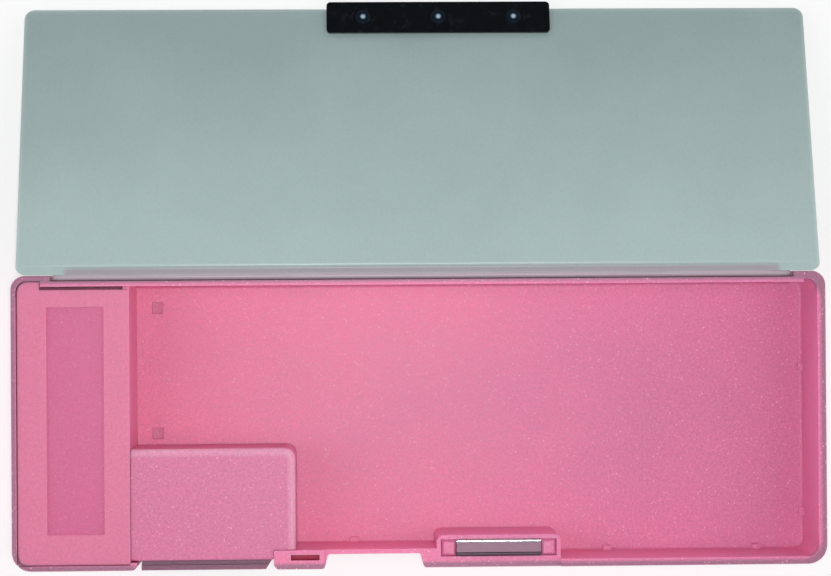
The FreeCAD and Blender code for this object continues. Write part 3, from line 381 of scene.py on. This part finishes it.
def vinyl_film(name, look, colour, shade, patch=None):
    """Plasticised vinyl film, calendered and lightly embossed.

    The eye sees a soft satin sheen, faint cloudiness from the pad beneath, a very fine leather grain
    and painted shade that darkens the colour towards the free edge. A patch is a box of another colour."""
    material, tree = new_material(name)
    place = node(tree, "ShaderNodeTexCoord").outputs["Object"]
    axes = node(tree, "ShaderNodeSeparateXYZ", {"Vector": place})
    clouds = node(
        tree, "ShaderNodeTexNoise",
        {"Vector": place, "Scale": per_mm(45.0), "Detail": 4.0, "Roughness": 0.6},
    ).outputs["Fac"]
    # Painted shade: the film is drawn darker towards the free edge.
    light_ramp = node(
        tree, "ShaderNodeMapRange", {"Value": axes.outputs["Y"], **SHADE_ENDS, "To Min": -0.5, "To Max": 0.5}
    )
    body = cloudy_colour(tree, clouds, light_ramp.outputs["Result"], colour, shade)
    if patch:
        box, inside = patch
        mask = box_mask(tree, place, *box)
        body = node(tree, "ShaderNodeMix", {0: mask, 6: body, 7: opaque(inside)}, data_type="RGBA").outputs[2]
    grain = node(
        tree, "ShaderNodeTexVoronoi",
        {"Vector": place, "Scale": per_mm(look.grain / MM)}, feature="SMOOTH_F1",
    )
    fine = node(tree, "ShaderNodeTexNoise", {"Vector": place, "Scale": per_mm(0.5), "Detail": 3.0})
    height = node(
        tree, "ShaderNodeMath", {0: grain.outputs["Distance"], 1: fine.outputs["Fac"]}, operation="ADD"
    ).outputs["Value"]
    tone = node(
        tree, "ShaderNodeMapRange",
        {"Value": height, "From Min": 0.5, "From Max": 1.3, "To Min": 1.02, "To Max": 0.965},
    )
    toned = node(
        tree, "ShaderNodeMix",
        {0: 1.0, 6: body, 7: tone.outputs["Result"]}, data_type="RGBA", blend_type="MULTIPLY",
    )
    rough = node(tree, "ShaderNodeMapRange", {"Value": clouds, **NOISE_SPAN, "To Min": 0.32, "To Max": 0.4})
    relief = node(tree, "ShaderNodeBump", {"Strength": 0.12, "Distance": 0.05 * MM, "Height": height})
    close_material(tree, {
        "Base Color": toned.outputs[2],
        "Roughness": rough.outputs["Result"],
        "IOR": 1.53,
        "Normal": relief.outputs["Normal"],
    })
    return material


# The first of three rivets, the step to the next along the lid, and how far out they are, in millimetres.
RIVET_RADIUS = 2.2
RIVET_X = RIVETS_LOW[0] + RIVET_RADIUS
RIVET_STEP = (RIVETS_HIGH[0] - RIVET_RADIUS - RIVET_X) / 2
RIVET_OUT = 77.8


def rivet_reach(tree, place):
    """The distance from the nearest rivet's axis."""
    first = on_lid(RIVET_X, RIVET_OUT, 0.0)
    moved = node(tree, "ShaderNodeVectorMath", {0: place, 1: first}, operation="SUBTRACT")
    along = node(tree, "ShaderNodeSeparateXYZ", {"Vector": moved.outputs[0]})
    nearest = node(
        tree, "ShaderNodeMath", {0: along.outputs["X"], 1: RIVET_STEP / 2 * MM}, operation="PINGPONG"
    )
    out = node(tree, "ShaderNodeVectorMath", {0: moved.outputs[0], 1: LID_OUT}, operation="DOT_PRODUCT")
    flat = node(tree, "ShaderNodeCombineXYZ", {"X": nearest.outputs["Value"], "Y": out.outputs["Value"]})
    return node(tree, "ShaderNodeVectorMath", {0: flat.outputs[0]}, operation="LENGTH").outputs["Value"]


def black_enamel(name, look, colour, roughness, domed=False):
    """Stoving enamel on pressed steel.

    The eye sees a deep gloss black with a slight orange peel and fine dust. Rivets look domed,
    with a painted blue-white glint on the crown and a dull rim."""
    material, tree = new_material(name)
    place = node(tree, "ShaderNodeTexCoord").outputs["Object"]
    peel = node(
        tree, "ShaderNodeTexNoise", {"Vector": place, "Scale": per_mm(2.2), "Detail": 2.0}
    ).outputs["Fac"]
    dust = node(tree, "ShaderNodeTexVoronoi", {"Vector": place, "Scale": per_mm(1.1)})
    chance = node(tree, "ShaderNodeSeparateColor", {"Color": dust.outputs["Color"]})
    dusty = node(
        tree, "ShaderNodeMapRange",
        {"Value": chance.outputs["Green"], "From Min": 0.9, "From Max": 1.0, "To Max": 0.012},
    )
    body = node(
        tree, "ShaderNodeMix",
        {0: dusty.outputs["Result"], 6: opaque(colour), 7: opaque(look.zinc)}, data_type="RGBA",
    ).outputs[2]
    height, gloss = peel, 0.3
    if domed:
        reach = rivet_reach(tree, place)
        # Painted glint: blue-white colour on each rivet's crown.
        painted_crown_glint = node(
            tree, "ShaderNodeMapRange",
            {"Value": reach, "From Min": 0.2 * MM, "From Max": 0.9 * MM, "To Min": 0.85, "To Max": 0.0},
        )
        body = node(
            tree, "ShaderNodeMix",
            {0: painted_crown_glint.outputs["Result"], 6: body, 7: opaque(look.painted_crown_glint)}, data_type="RGBA",
        ).outputs[2]
        height = node(
            tree, "ShaderNodeMath", {0: reach, 1: -per_mm(0.25)}, operation="MULTIPLY"
        ).outputs["Value"]
        gloss = node(
            tree, "ShaderNodeMapRange",
            {"Value": reach, "From Min": 0.8 * MM, "From Max": 1.3 * MM, "To Min": gloss, "To Max": 0.05},
        ).outputs["Result"]
    rough = node(
        tree, "ShaderNodeMapRange",
        {"Value": peel, **NOISE_SPAN, "To Min": roughness - 0.04, "To Max": roughness + 0.06},
    )
    relief = node(tree, "ShaderNodeBump", {"Strength": 0.15, "Distance": 0.04 * MM, "Height": height})
    close_material(tree, {
        "Base Color": body,
        "Roughness": rough.outputs["Result"],
        "IOR": 1.5,
        "Specular IOR Level": gloss,
        "Normal": relief.outputs["Normal"],
    })
    return material


def bare_metal(name, colour, roughness, metallic, grain_mm, stretch):
    """Plated or ground metal.

    The eye sees fine lines left along the bar by rolling or grinding, and a broken reflection."""
    material, tree = new_material(name)
    place = node(tree, "ShaderNodeTexCoord").outputs["Object"]
    drawn_out = node(tree, "ShaderNodeMapping", {"Vector": place, "Scale": (1.0 / stretch, 1.0, 1.0)})
    lines = node(tree, "ShaderNodeTexNoise", {
        "Vector": drawn_out.outputs["Vector"], "Scale": per_mm(grain_mm), "Detail": 5.0, "Roughness": 0.65,
    }).outputs["Fac"]
    tone = node(tree, "ShaderNodeMapRange", {"Value": lines, **NOISE_SPAN, "To Min": 0.8, "To Max": 1.08})
    body = node(
        tree, "ShaderNodeMix",
        {0: 1.0, 6: opaque(colour), 7: tone.outputs["Result"]}, data_type="RGBA", blend_type="MULTIPLY",
    )
    rough = node(
        tree, "ShaderNodeMapRange",
        {"Value": lines, **NOISE_SPAN, "To Min": roughness - 0.08, "To Max": roughness + 0.1},
    )
    relief = node(tree, "ShaderNodeBump", {"Strength": 0.2, "Distance": 0.03 * MM, "Height": lines})
    close_material(tree, {
        "Base Color": body.outputs[2],
        "Metallic": metallic,
        "Roughness": rough.outputs["Result"],
        "Normal": relief.outputs["Normal"],
    })
    return material


def dress_node(name, material):
    """Gives a CAD node its finish."""
    piece = frame["nodes"][name]
    piece.data.materials.clear()
    piece.data.materials.append(material)


def new_piece(name, points, faces, material):
    """A smooth-shaded mesh piece with its faces turned outwards."""
    mesh = bpy.data.meshes.new(name)
    mesh.from_pydata([tuple(point) for point in points], [], faces)
    shell = bmesh.new()
    shell.from_mesh(mesh)
    bmesh.ops.recalc_face_normals(shell, faces=shell.faces)
    shell.to_mesh(mesh)
    shell.free()
    mesh.polygons.foreach_set("use_smooth", [True] * len(mesh.polygons))
    mesh.materials.append(material)
    piece = bpy.data.objects.new(name, mesh)
    bpy.context.scene.collection.objects.link(piece)
    return piece


def on_lid(x, out, depth):
    """A place on the open lid in mm: along it, out from the hinge line, down from its inner face."""
    return HINGE_LINE + MM * (Vector((x, 0.0, 0.0)) + out * LID_OUT - depth * LID_UP)


# Where the pad's grid lines run in from its edges, in millimetres: close together over the rounding.
EDGE_LINES = (0.0, 0.12, 0.4, 0.85, 1.5, 2.2, 3.0, 4.0, 5.5, 7.5, 10.0)
REAR_LINES = (0.0, 0.12, 0.4, 0.9, 1.5, 1.95, 2.1, 2.35, 2.8, 3.4, 4.1, 4.9, 6.0, 7.5, 10.0)
PAD_STEP = 4.0
PAD_HALF_LENGTH = SKIN_HIGH[0]
PAD_FREE = 81.3
PAD_CORNER = 3.0
# A flat lip of welded film reaches from the hinge line to the full pad, and hangs lower between the posts.
LIP_REAR = 0.35
PAD_REAR = 2.3
LIP_DEPTH = 0.5
LIP_SAG = 0.35
LIP_THICK = 0.4
LIP_INSET = 2.0
LIP_SPAN = (STRIP_LOW[0] + LIP_INSET, STRIP_HIGH[0] - LIP_INSET)
LIP_EASE = 4.0
# The seam between the pad's two films lies this far below its inner face.
SEAM_DEPTH = 1.35
PLATE_SPAN = (PLATE_LOW[0], PLATE_HIGH[0])
PLATE_REAR = 73.0


def grid_lines(low, high, low_lines):
    """Grid lines from edge to edge, close together near both edges."""
    inset = EDGE_LINES[-1]
    count = max(2, round((high - low - 2 * inset) / PAD_STEP))
    middle = np.linspace(low + inset, high - inset, count + 1)[1:-1]
    return [low + e for e in low_lines] + middle.tolist() + [high - e for e in reversed(EDGE_LINES)]


def round_corner(x, out):
    """Moves a point of the pad's square grid to its rounded outline, and gives how far in it lies."""
    centre = (LIP_REAR + PAD_FREE) / 2
    half = (PAD_FREE - LIP_REAR) / 2
    across = out - centre
    edge_x = PAD_HALF_LENGTH - abs(x)
    edge_y = half - abs(across)
    if edge_x >= PAD_CORNER or edge_y >= PAD_CORNER:
        return x, out, min(edge_x, edge_y)
    a, b = 1.0 - edge_x / PAD_CORNER, 1.0 - edge_y / PAD_CORNER
    a, b = a * math.sqrt(1.0 - b * b / 2.0), b * math.sqrt(1.0 - a * a / 2.0)
    turned_x = math.copysign(PAD_HALF_LENGTH - PAD_CORNER + PAD_CORNER * a, x)
    turned_y = math.copysign(half - PAD_CORNER + PAD_CORNER * b, across)
    return turned_x, centre + turned_y, max(0.0, PAD_CORNER * (1.0 - math.hypot(a, b)))


def swell(distance, radius):
    """The height of a rounded edge, from 0 at the seam to 1 on the flat."""
    short = max(0.0, 1.0 - distance / radius)
    return math.sqrt(max(0.0, 1.0 - short * short))


def pucker(x, out, edge):
    """Small waves of the film along the welded edge, fuller near the striker plate."""
    near_edge = math.exp(-edge / 7.0) * min(1.0, edge / 1.5)
    to_plate = max(0.0, PLATE_SPAN[0] - x, x - PLATE_SPAN[1])
    pull = 0.35 + 0.65 * math.exp(-to_plate / 45.0) * (1.0 if out > 40.0 else 0.0)
    wave = math.sin(x / 5.3 + 0.7) + 0.7 * math.sin(x / 8.7 + out / 9.0)
    wave += 0.5 * math.sin(x / 3.1 - out / 6.0)
    return near_edge * pull * wave / 2.2


def ease(low, high, value):
    """0 below low, 1 above high, and a soft step between."""
    t = min(1.0, max(0.0, (value - low) / (high - low)))
    return t * t * (3.0 - 2.0 * t)


def lip_depth(x):
    """How far the lip's upper side lies below the lid's inner face."""
    left, right = LIP_SPAN
    from_left = ease(left - LIP_EASE, left + LIP_EASE, x)
    from_right = ease(-right - LIP_EASE, -right + LIP_EASE, -x)
    return LIP_DEPTH + LIP_SAG * from_left * from_right


def make_lid_pad(look, film):
    """The padded lid: two films welded round a board and foam, with a crowned edge and a lip at the hinge."""
    face_round, back_round = look.face_round / MM, look.back_round / MM
    thickness, pucker_height = look.thickness / MM, look.pucker / MM
    xs = grid_lines(-PAD_HALF_LENGTH, PAD_HALF_LENGTH, EDGE_LINES)
    outs = grid_lines(LIP_REAR, PAD_FREE, REAR_LINES)
    points, face_index, back_index = [], {}, {}
    for i, line_x in enumerate(xs):
        for j, line_out in enumerate(outs):
            x, out, edge = round_corner(line_x, line_out)
            lip_top = lip_depth(x)
            full_face = swell(max(0.0, out - PAD_REAR), face_round)
            full_back = swell(max(0.0, out - PAD_REAR), back_round)
            seam = lip_top + LIP_THICK / 2 + (SEAM_DEPTH - lip_top - LIP_THICK / 2) * full_back
            to_plate = max(PLATE_SPAN[0] - x, x - PLATE_SPAN[1], PLATE_REAR - out)
            held = math.exp(-max(0.0, to_plate) / 2.5)
            soft = 0.3 * math.exp(-edge / 3.5) + 0.22 * held + pucker_height * pucker(x, out, edge)
            rounded = seam * (1.0 - swell(edge, face_round)) + soft * full_face
            face = max(rounded, lip_top * (1.0 - full_face))
            face_index[i, j] = len(points)
            points.append(on_lid(x, out, min(max(0.02, face), seam)))
            if i in (0, len(xs) - 1) or j in (0, len(outs) - 1):
                back_index[i, j] = face_index[i, j]
                continue
            fall = lip_top + LIP_THICK + (thickness - lip_top - LIP_THICK) * full_back
            back = seam + (fall - seam) * swell(edge, back_round)
            pinch = 0.12 * math.exp(-edge / 9.0) + 0.6 * pucker_height * abs(pucker(x + 17.0, out, edge))
            back_index[i, j] = len(points)
            points.append(on_lid(x, out, back - pinch * full_back))
    faces = []
    for index, turned in ((face_index, 1), (back_index, -1)):
        for i in range(len(xs) - 1):
            for j in range(len(outs) - 1):
                corners = [index[i, j], index[i + 1, j], index[i + 1, j + 1], index[i, j + 1]]
                faces.append(corners[::turned])
    pad = new_piece("lid_pad", points, faces, film)
    pad.modifiers.new("film_smooth", "SUBSURF").levels = 1
    pad.modifiers["film_smooth"].render_levels = 1
    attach(pad, "lid")
    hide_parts("lid_inner_skin", "lid_outer_skin", "lid_board", "lid_foam")
    return pad


# The hinge flap's way from its bonded foot up and under the lid's lip: front to rear and height in mm.
FLAP_PATH = (
    (40.2, 3.2), (40.2, 9.0), (40.2, 15.0), (40.2, 20.0), (40.2, 23.2), (40.25, 24.3), (40.5, 25.0),
    (40.95, 25.25), (41.5, 25.05), (42.0, 24.65), (42.6, 24.3), (43.3, 24.0), (44.2, 23.7),
)
FLAP_ENDS = (STRIP_LOW[0], STRIP_HIGH[0])
FLAP_THICK = 0.45
FLAP_COLUMNS = 104


def smooth_path(points, steps):
    """A smooth line through points, with steps between each pair."""
    held = [points[0], *points, points[-1]]
    line = []
    for a, b, c, d in zip(held, held[1:], held[2:], held[3:]):
        a, b, c, d = (np.array(p) for p in (a, b, c, d))
        for t in np.linspace(0.0, 1.0, steps, endpoint=False):
            bend = (2 * a - 5 * b + 4 * c - d) * t ** 2 + (3 * b - a - 3 * c + d) * t ** 3
            line.append((2 * b + (c - a) * t + bend) / 2)
    line.append(np.array(points[-1]))
    return line


def make_hinge_flap(film):
    """The strip of vinyl bonded behind the tray that carries the lid."""
    line = smooth_path(FLAP_PATH, 3)
    xs = np.linspace(*FLAP_ENDS, FLAP_COLUMNS + 1).tolist()
    points, faces = [], []
    for x in xs:
        for y, z in line:
            loose = ease(23.0, 25.0, z) * ease(-42.0, -41.0, -y)
            ripple = 0.1 * loose * (math.sin(x / 6.1) + 0.6 * math.sin(x / 2.9 + 1.0))
            points.append(MM * Vector((x, y, z + ripple)))
    for i in range(len(xs) - 1):
        for j in range(len(line) - 1):
            a = i * len(line) + j
            faces.append([a, a + 1, a + 1 + len(line), a + len(line)])
    flap = new_piece("hinge_flap", points, faces, film)
    thicken = flap.modifiers.new("film_thickness", "SOLIDIFY")
    thicken.thickness = FLAP_THICK * MM
    thicken.offset = 0.0
    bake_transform(flap)
    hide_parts("hinge_strip")
    return flap


# Each patch has its low and high corner seen from above, its corner rounding and its softness, in mm.
# The tray's top inside its outer edge of painted shade, which is wider at the rear.
SHADED_EDGE, SHADED_REAR = 1.5, 2.3
TRAY_TOP = (
    (TRAY_LOW[0] + SHADED_EDGE, TRAY_LOW[1] + SHADED_EDGE),
    (TRAY_HIGH[0] - SHADED_EDGE, TRAY_HIGH[1] - SHADED_REAR), 6.0, 0.5,
)
# The label pad inside the end cover's margins: left, front, right and rear.
LABEL_MARGINS = (8.2, 8.4, 7.2, 7.1)
LABEL_PAD = (
    (COVER_LOW[0] + LABEL_MARGINS[0], COVER_LOW[1] + LABEL_MARGINS[1]),
    (COVER_HIGH[0] - LABEL_MARGINS[2], COVER_HIGH[1] - LABEL_MARGINS[3]), 0.6, 0.3,
)
# The drawer housing's top inside the rounded edges at its right and rear, which carry a painted highlight.
HIGHLIT_EDGE = 1.7
HOUSING_TOP = (TRAY_LOW[:2], (HOUSING_HIGH[0] - HIGHLIT_EDGE, HOUSING_HIGH[1] - HIGHLIT_EDGE), 2.0, 0.7)
# How high the painted shade and painted highlight on the outer edges begin, in mm.
RIM_FOOT = 24.0
# The lip between the posts, where the film is greyed by painted shade and tinted by painted reflection of the
# pink tray.
LIP_TINT_INSET, LIP_TINT_REACH = 1.0, 2.0
PAINTED_LIP_PATCH = (
    (LIP_SPAN[0] + LIP_TINT_INSET, STRIP_LOW[1] - LIP_TINT_REACH),
    (LIP_SPAN[1] - LIP_TINT_INSET, TRAY_HIGH[1] + LIP_TINT_REACH), 1.0, 0.7,
)


class PENCILBOX_OT_mouldings(bpy.types.Operator):
    """Finishes the tray, end cover, drawer housing, drawer and catch tongue"""

    bl_idname = "pencil_box.mouldings"
    bl_label = "Mouldings"

    def execute(self, context):
        look = context.scene.pencil_box.moulding
        # Pink with painted light towards the left end, and painted glints.
        brightened = (look.pink, look.painted_light_pink, look.painted_glint)
        # The housing's pink, darkened as painted shade.
        deck = (look.deck_shaded_pink, look.deck_shaded_pink, look.painted_glint)
        # The end cover's pink, darkened as painted shade.
        cover = (look.cover_shaded_pink, look.cover_shaded_pink, look.painted_glint)
        # The drawer front's mauve is painted shade on pink plastic.
        mauve = (look.mauve, look.mauve, look.painted_light_pink)
        # Deep red as painted shade in the catch's slot.
        red = (look.slot_shade_red, look.slot_shade_red, look.pink)
        # Painted shade on the tray's outer edge.
        shadowed = (TRAY_TOP, None, look.shaded_edge_mauve, RIM_FOOT)
        # Painted highlight on the housing's rounded edges.
        highlit = (HOUSING_TOP, None, look.highlit, RIM_FOOT)
        label = (LABEL_PAD, look.pad_pink, None, 0.0)
        pink = moulded_plastic("moulded_pink_polypropylene", look, *brightened, 0.4, 0.7)
        dress_node("drawer_tray", pink)
        dress_node("magnet_holder", pink)
        dress_node("tray_shell", moulded_plastic("moulded_pink_tray", look, *brightened, 0.4, 0.85, shadowed))
        dress_node(
            "end_cover",
            moulded_plastic("moulded_pink_cover", look, *cover, 0.4, 0.25, label, contrast=0.4),
        )
        dress_node("drawer_housing", moulded_plastic("moulded_pink_housing", look, *deck, 0.4, 0.7, highlit))
        dress_node("drawer_catch", moulded_plastic("painted_slot_shade_polypropylene", look, *red, 0.45, 0.1))
        dress_node("drawer_front", moulded_plastic("painted_shade_drawer_front", look, *mauve, 0.4, 0.15))
        return {"FINISHED"}


class PENCILBOX_OT_magnet_catch(bpy.types.Operator):
    """Finishes the magnet bar and its pole strips"""

    bl_idname = "pencil_box.magnet_catch"
    bl_label = "Magnet catch"

    def execute(self, context):
        look = context.scene.pencil_box.metal
        dress_node("magnet_bar", bare_metal("ground_magnet", look.magnet, 0.45, 0.55, 0.5, 3.0))
        # The front pole strip darkened as painted shade.
        dress_node("front_pole_strip", bare_metal("shaded_plated_steel", look.shaded_plate, 0.5, 1.0, 0.3, 3.0))
        dress_node("rear_pole_strip", bare_metal("plated_steel", look.plate, 0.25, 1.0, 0.25, 12.0))
        return {"FINISHED"}


class PENCILBOX_OT_lid_pad(bpy.types.Operator):
    """Makes the padded vinyl lid"""

    bl_idname = "pencil_box.lid_pad"
    bl_label = "Lid pad"

    def execute(self, context):
        look = context.scene.pencil_box.vinyl
        # The lip's grey is painted shade and painted reflection of the pink tray.
        film = vinyl_film("vinyl_film", look, look.film, look.film_painted_shade, patch=(PAINTED_LIP_PATCH, look.lip))
        make_lid_pad(look, film)
        return {"FINISHED"}


class PENCILBOX_OT_hinge_flap(bpy.types.Operator):
    """Makes the vinyl hinge flap"""

    bl_idname = "pencil_box.hinge_flap"
    bl_label = "Hinge flap"

    def execute(self, context):
        look = context.scene.pencil_box.vinyl
        # The flap's lilac is painted reflection of the pink tray.
        make_hinge_flap(vinyl_film("painted_reflection_vinyl_film", look, look.flap, look.flap))
        return {"FINISHED"}


class PENCILBOX_OT_striker(bpy.types.Operator):
    """Finishes the striker plate, its rivets and washers"""

    bl_idname = "pencil_box.striker"
    bl_label = "Striker"

    def execute(self, context):
        look = context.scene.pencil_box.metal
        dress_node("striker_plate", black_enamel("black_stoving_enamel", look, look.enamel, 0.2))
        dress_node("striker_rivets", black_enamel("blued_rivet_enamel", look, look.rivet, 0.3, domed=True))
        dress_node("rivet_washers", bare_metal("zinc_plated_steel", look.zinc, 0.35, 1.0, 0.4, 1.0))
        return {"FINISHED"}


class PENCILBOX_OT_stage(bpy.types.Operator):
    """Sets out the floor, the lamps, the surroundings and the camera"""

    bl_idname = "pencil_box.stage"
    bl_label = "Stage"

    def execute(self, context):
        look = context.scene.pencil_box.stage
        make_floor(look)
        make_room(context.scene, look)
        make_lamps(look)
        make_camera(context.scene, look)
        context.scene.view_settings.view_transform = "Standard"
        return {"FINISHED"}


FLOOR_HALF = 2.0
FLOOR_DROP = 0.15 * MM
# How much of the paper's white is its own; the rest keeps the shadow.
OWN_WHITE = 0.6


def make_floor(look):
    """A wide floor of matt paper just under the box, white to the eye and in reflections."""
    material, tree = new_material("matt_paper")
    place = node(tree, "ShaderNodeTexCoord").outputs["Object"]
    tooth = node(tree, "ShaderNodeTexNoise", {"Vector": place, "Scale": per_mm(1.5), "Detail": 3.0})
    relief = node(
        tree, "ShaderNodeBump", {"Strength": 0.05, "Distance": 0.05 * MM, "Height": tooth.outputs["Fac"]}
    )
    paper = node(tree, "ShaderNodeBsdfPrincipled", {
        "Base Color": opaque(look.floor),
        "Roughness": 0.9,
        "Specular IOR Level": 0.1,
        "Normal": relief.outputs["Normal"],
    })
    path = node(tree, "ShaderNodeLightPath").outputs
    mirrored = node(
        tree, "ShaderNodeMath",
        {0: path["Is Glossy Ray"], 1: path["Is Transmission Ray"]}, operation="MAXIMUM",
    )
    seen = node(
        tree, "ShaderNodeMath",
        {0: path["Is Camera Ray"], 1: mirrored.outputs["Value"]}, operation="MAXIMUM",
    )
    share = node(tree, "ShaderNodeMath", {0: seen.outputs["Value"], 1: OWN_WHITE}, operation="MULTIPLY")
    white = node(tree, "ShaderNodeEmission", {"Color": WHITE, "Strength": 1.0})
    mixed = node(
        tree, "ShaderNodeMixShader",
        {0: share.outputs["Value"], 1: paper.outputs["BSDF"], 2: white.outputs["Emission"]},
    )
    node(tree, "ShaderNodeOutputMaterial", {"Surface": mixed.outputs["Shader"]})
    ways = ((-1, -1), (1, -1), (1, 1), (-1, 1))
    corners = [(FLOOR_HALF * x, FLOOR_HALF * y, -FLOOR_DROP) for x, y in ways]
    new_piece("floor", corners, [(0, 1, 2, 3)], material)


# The heights on the sky's ball between which the walls give way to the ceiling.
WALL_HEIGHTS = {"From Min": 0.15, "From Max": 0.6}


def make_room(scene, look):
    """Pale walls at eye height and a dimmer ceiling, so that gloss black stays black from above."""
    world = bpy.data.worlds.new("pale_room")
    world.use_nodes = True
    tree = world.node_tree
    tree.nodes.clear()
    way = node(tree, "ShaderNodeTexCoord").outputs["Generated"]
    height = node(tree, "ShaderNodeSeparateXYZ", {"Vector": way}).outputs["Z"]
    strength = node(
        tree, "ShaderNodeMapRange",
        {"Value": height, **WALL_HEIGHTS, "To Min": look.walls, "To Max": look.room},
    )
    sky = node(tree, "ShaderNodeBackground", {"Color": WHITE, "Strength": strength.outputs["Result"]})
    node(tree, "ShaderNodeOutputWorld", {"Surface": sky.outputs["Background"]})
    scene.world = world


# Where the lamps look, and each lamp's place and size, in metres.
LAMP_TARGET = Vector((-0.02, 0.02, 0.0))
KEY_OUT, KEY_UP, KEY_SIZE = 0.55, 0.72, (0.35, 0.6)
FLASH_PLACE, FLASH_SIZE = (-0.003, 0.023, 0.72), (0.06, 0.04)


def add_lamp(name, place, size, power):
    """An area lamp that looks at the box."""
    lamp = bpy.data.lights.new(name, "AREA")
    lamp.shape = "RECTANGLE"
    lamp.size, lamp.size_y = size
    lamp.energy = power
    holder = bpy.data.objects.new(name, lamp)
    holder.location = place
    holder.rotation_mode = "QUATERNION"
    holder.rotation_quaternion = (LAMP_TARGET - Vector(place)).to_track_quat("-Z", "Y")
    bpy.context.scene.collection.objects.link(holder)


def make_lamps(look):
    """A large soft lamp to each side, clear of the mirror line to the lens, and a small one by the lens."""
    add_lamp("key_left", (-KEY_OUT, 0.0, KEY_UP), KEY_SIZE, look.key)
    add_lamp("key_right", (KEY_OUT, 0.0, KEY_UP), KEY_SIZE, look.key)
    add_lamp("flash", FLASH_PLACE, FLASH_SIZE, look.flash)


def make_camera(scene, look):
    """The lens above the box, looking straight down."""
    lens = bpy.data.cameras.new("camera")
    lens.lens = look.lens
    lens.sensor_width = 36.0
    camera = bpy.data.objects.new("camera", lens)
    lean, yaw, roll = look.camera_turn
    turn = Matrix.Rotation(yaw, 4, "Y") @ Matrix.Rotation(lean, 4, "X") @ Matrix.Rotation(roll, 4, "Z")
    camera.matrix_world = Matrix.Translation(look.camera_place) @ turn
    scene.collection.objects.link(camera)
    scene.camera = camera


class PENCILBOX_PT_looks(bpy.types.Panel):
    """Lists the looks and the steps that make them"""

    bl_idname = "PENCILBOX_PT_looks"
    bl_label = "Pencil Box"
    bl_space_type = "VIEW_3D"
    bl_region_type = "UI"
    bl_category = "Pencil Box"

    def draw(self, context):
        looks = context.scene.pencil_box
        for group in (looks.moulding, looks.vinyl, looks.metal, looks.stage):
            section = self.layout.box()
            for name in group.bl_rna.properties.keys():
                if name not in ("rna_type", "name"):
                    section.prop(group, name)
        for step in STEPS:
            self.layout.operator(step.bl_idname)


LOOKS = (MouldingLook, VinylLook, MetalLook, StageLook, PencilBoxLook)
STEPS = (
    PENCILBOX_OT_stage,
    PENCILBOX_OT_mouldings,
    PENCILBOX_OT_magnet_catch,
    PENCILBOX_OT_lid_pad,
    PENCILBOX_OT_hinge_flap,
    PENCILBOX_OT_striker,
)


def register():
    """Adds the looks, the steps and the panel."""
    for made in (*LOOKS, *STEPS, PENCILBOX_PT_looks):
        bpy.utils.register_class(made)
    bpy.types.Scene.pencil_box = PointerProperty(type=PencilBoxLook)


def unregister():
    """Takes them away again."""
    del bpy.types.Scene.pencil_box
    for made in reversed((*LOOKS, *STEPS, PENCILBOX_PT_looks)):
        bpy.utils.unregister_class(made)


def main():
    register()
    bpy.ops.pencil_box.stage()
    bpy.ops.pencil_box.mouldings()
    bpy.ops.pencil_box.magnet_catch()
    bpy.ops.pencil_box.lid_pad()
    bpy.ops.pencil_box.hinge_flap()
    bpy.ops.pencil_box.striker()


if __name__ == "__main__":
    main()
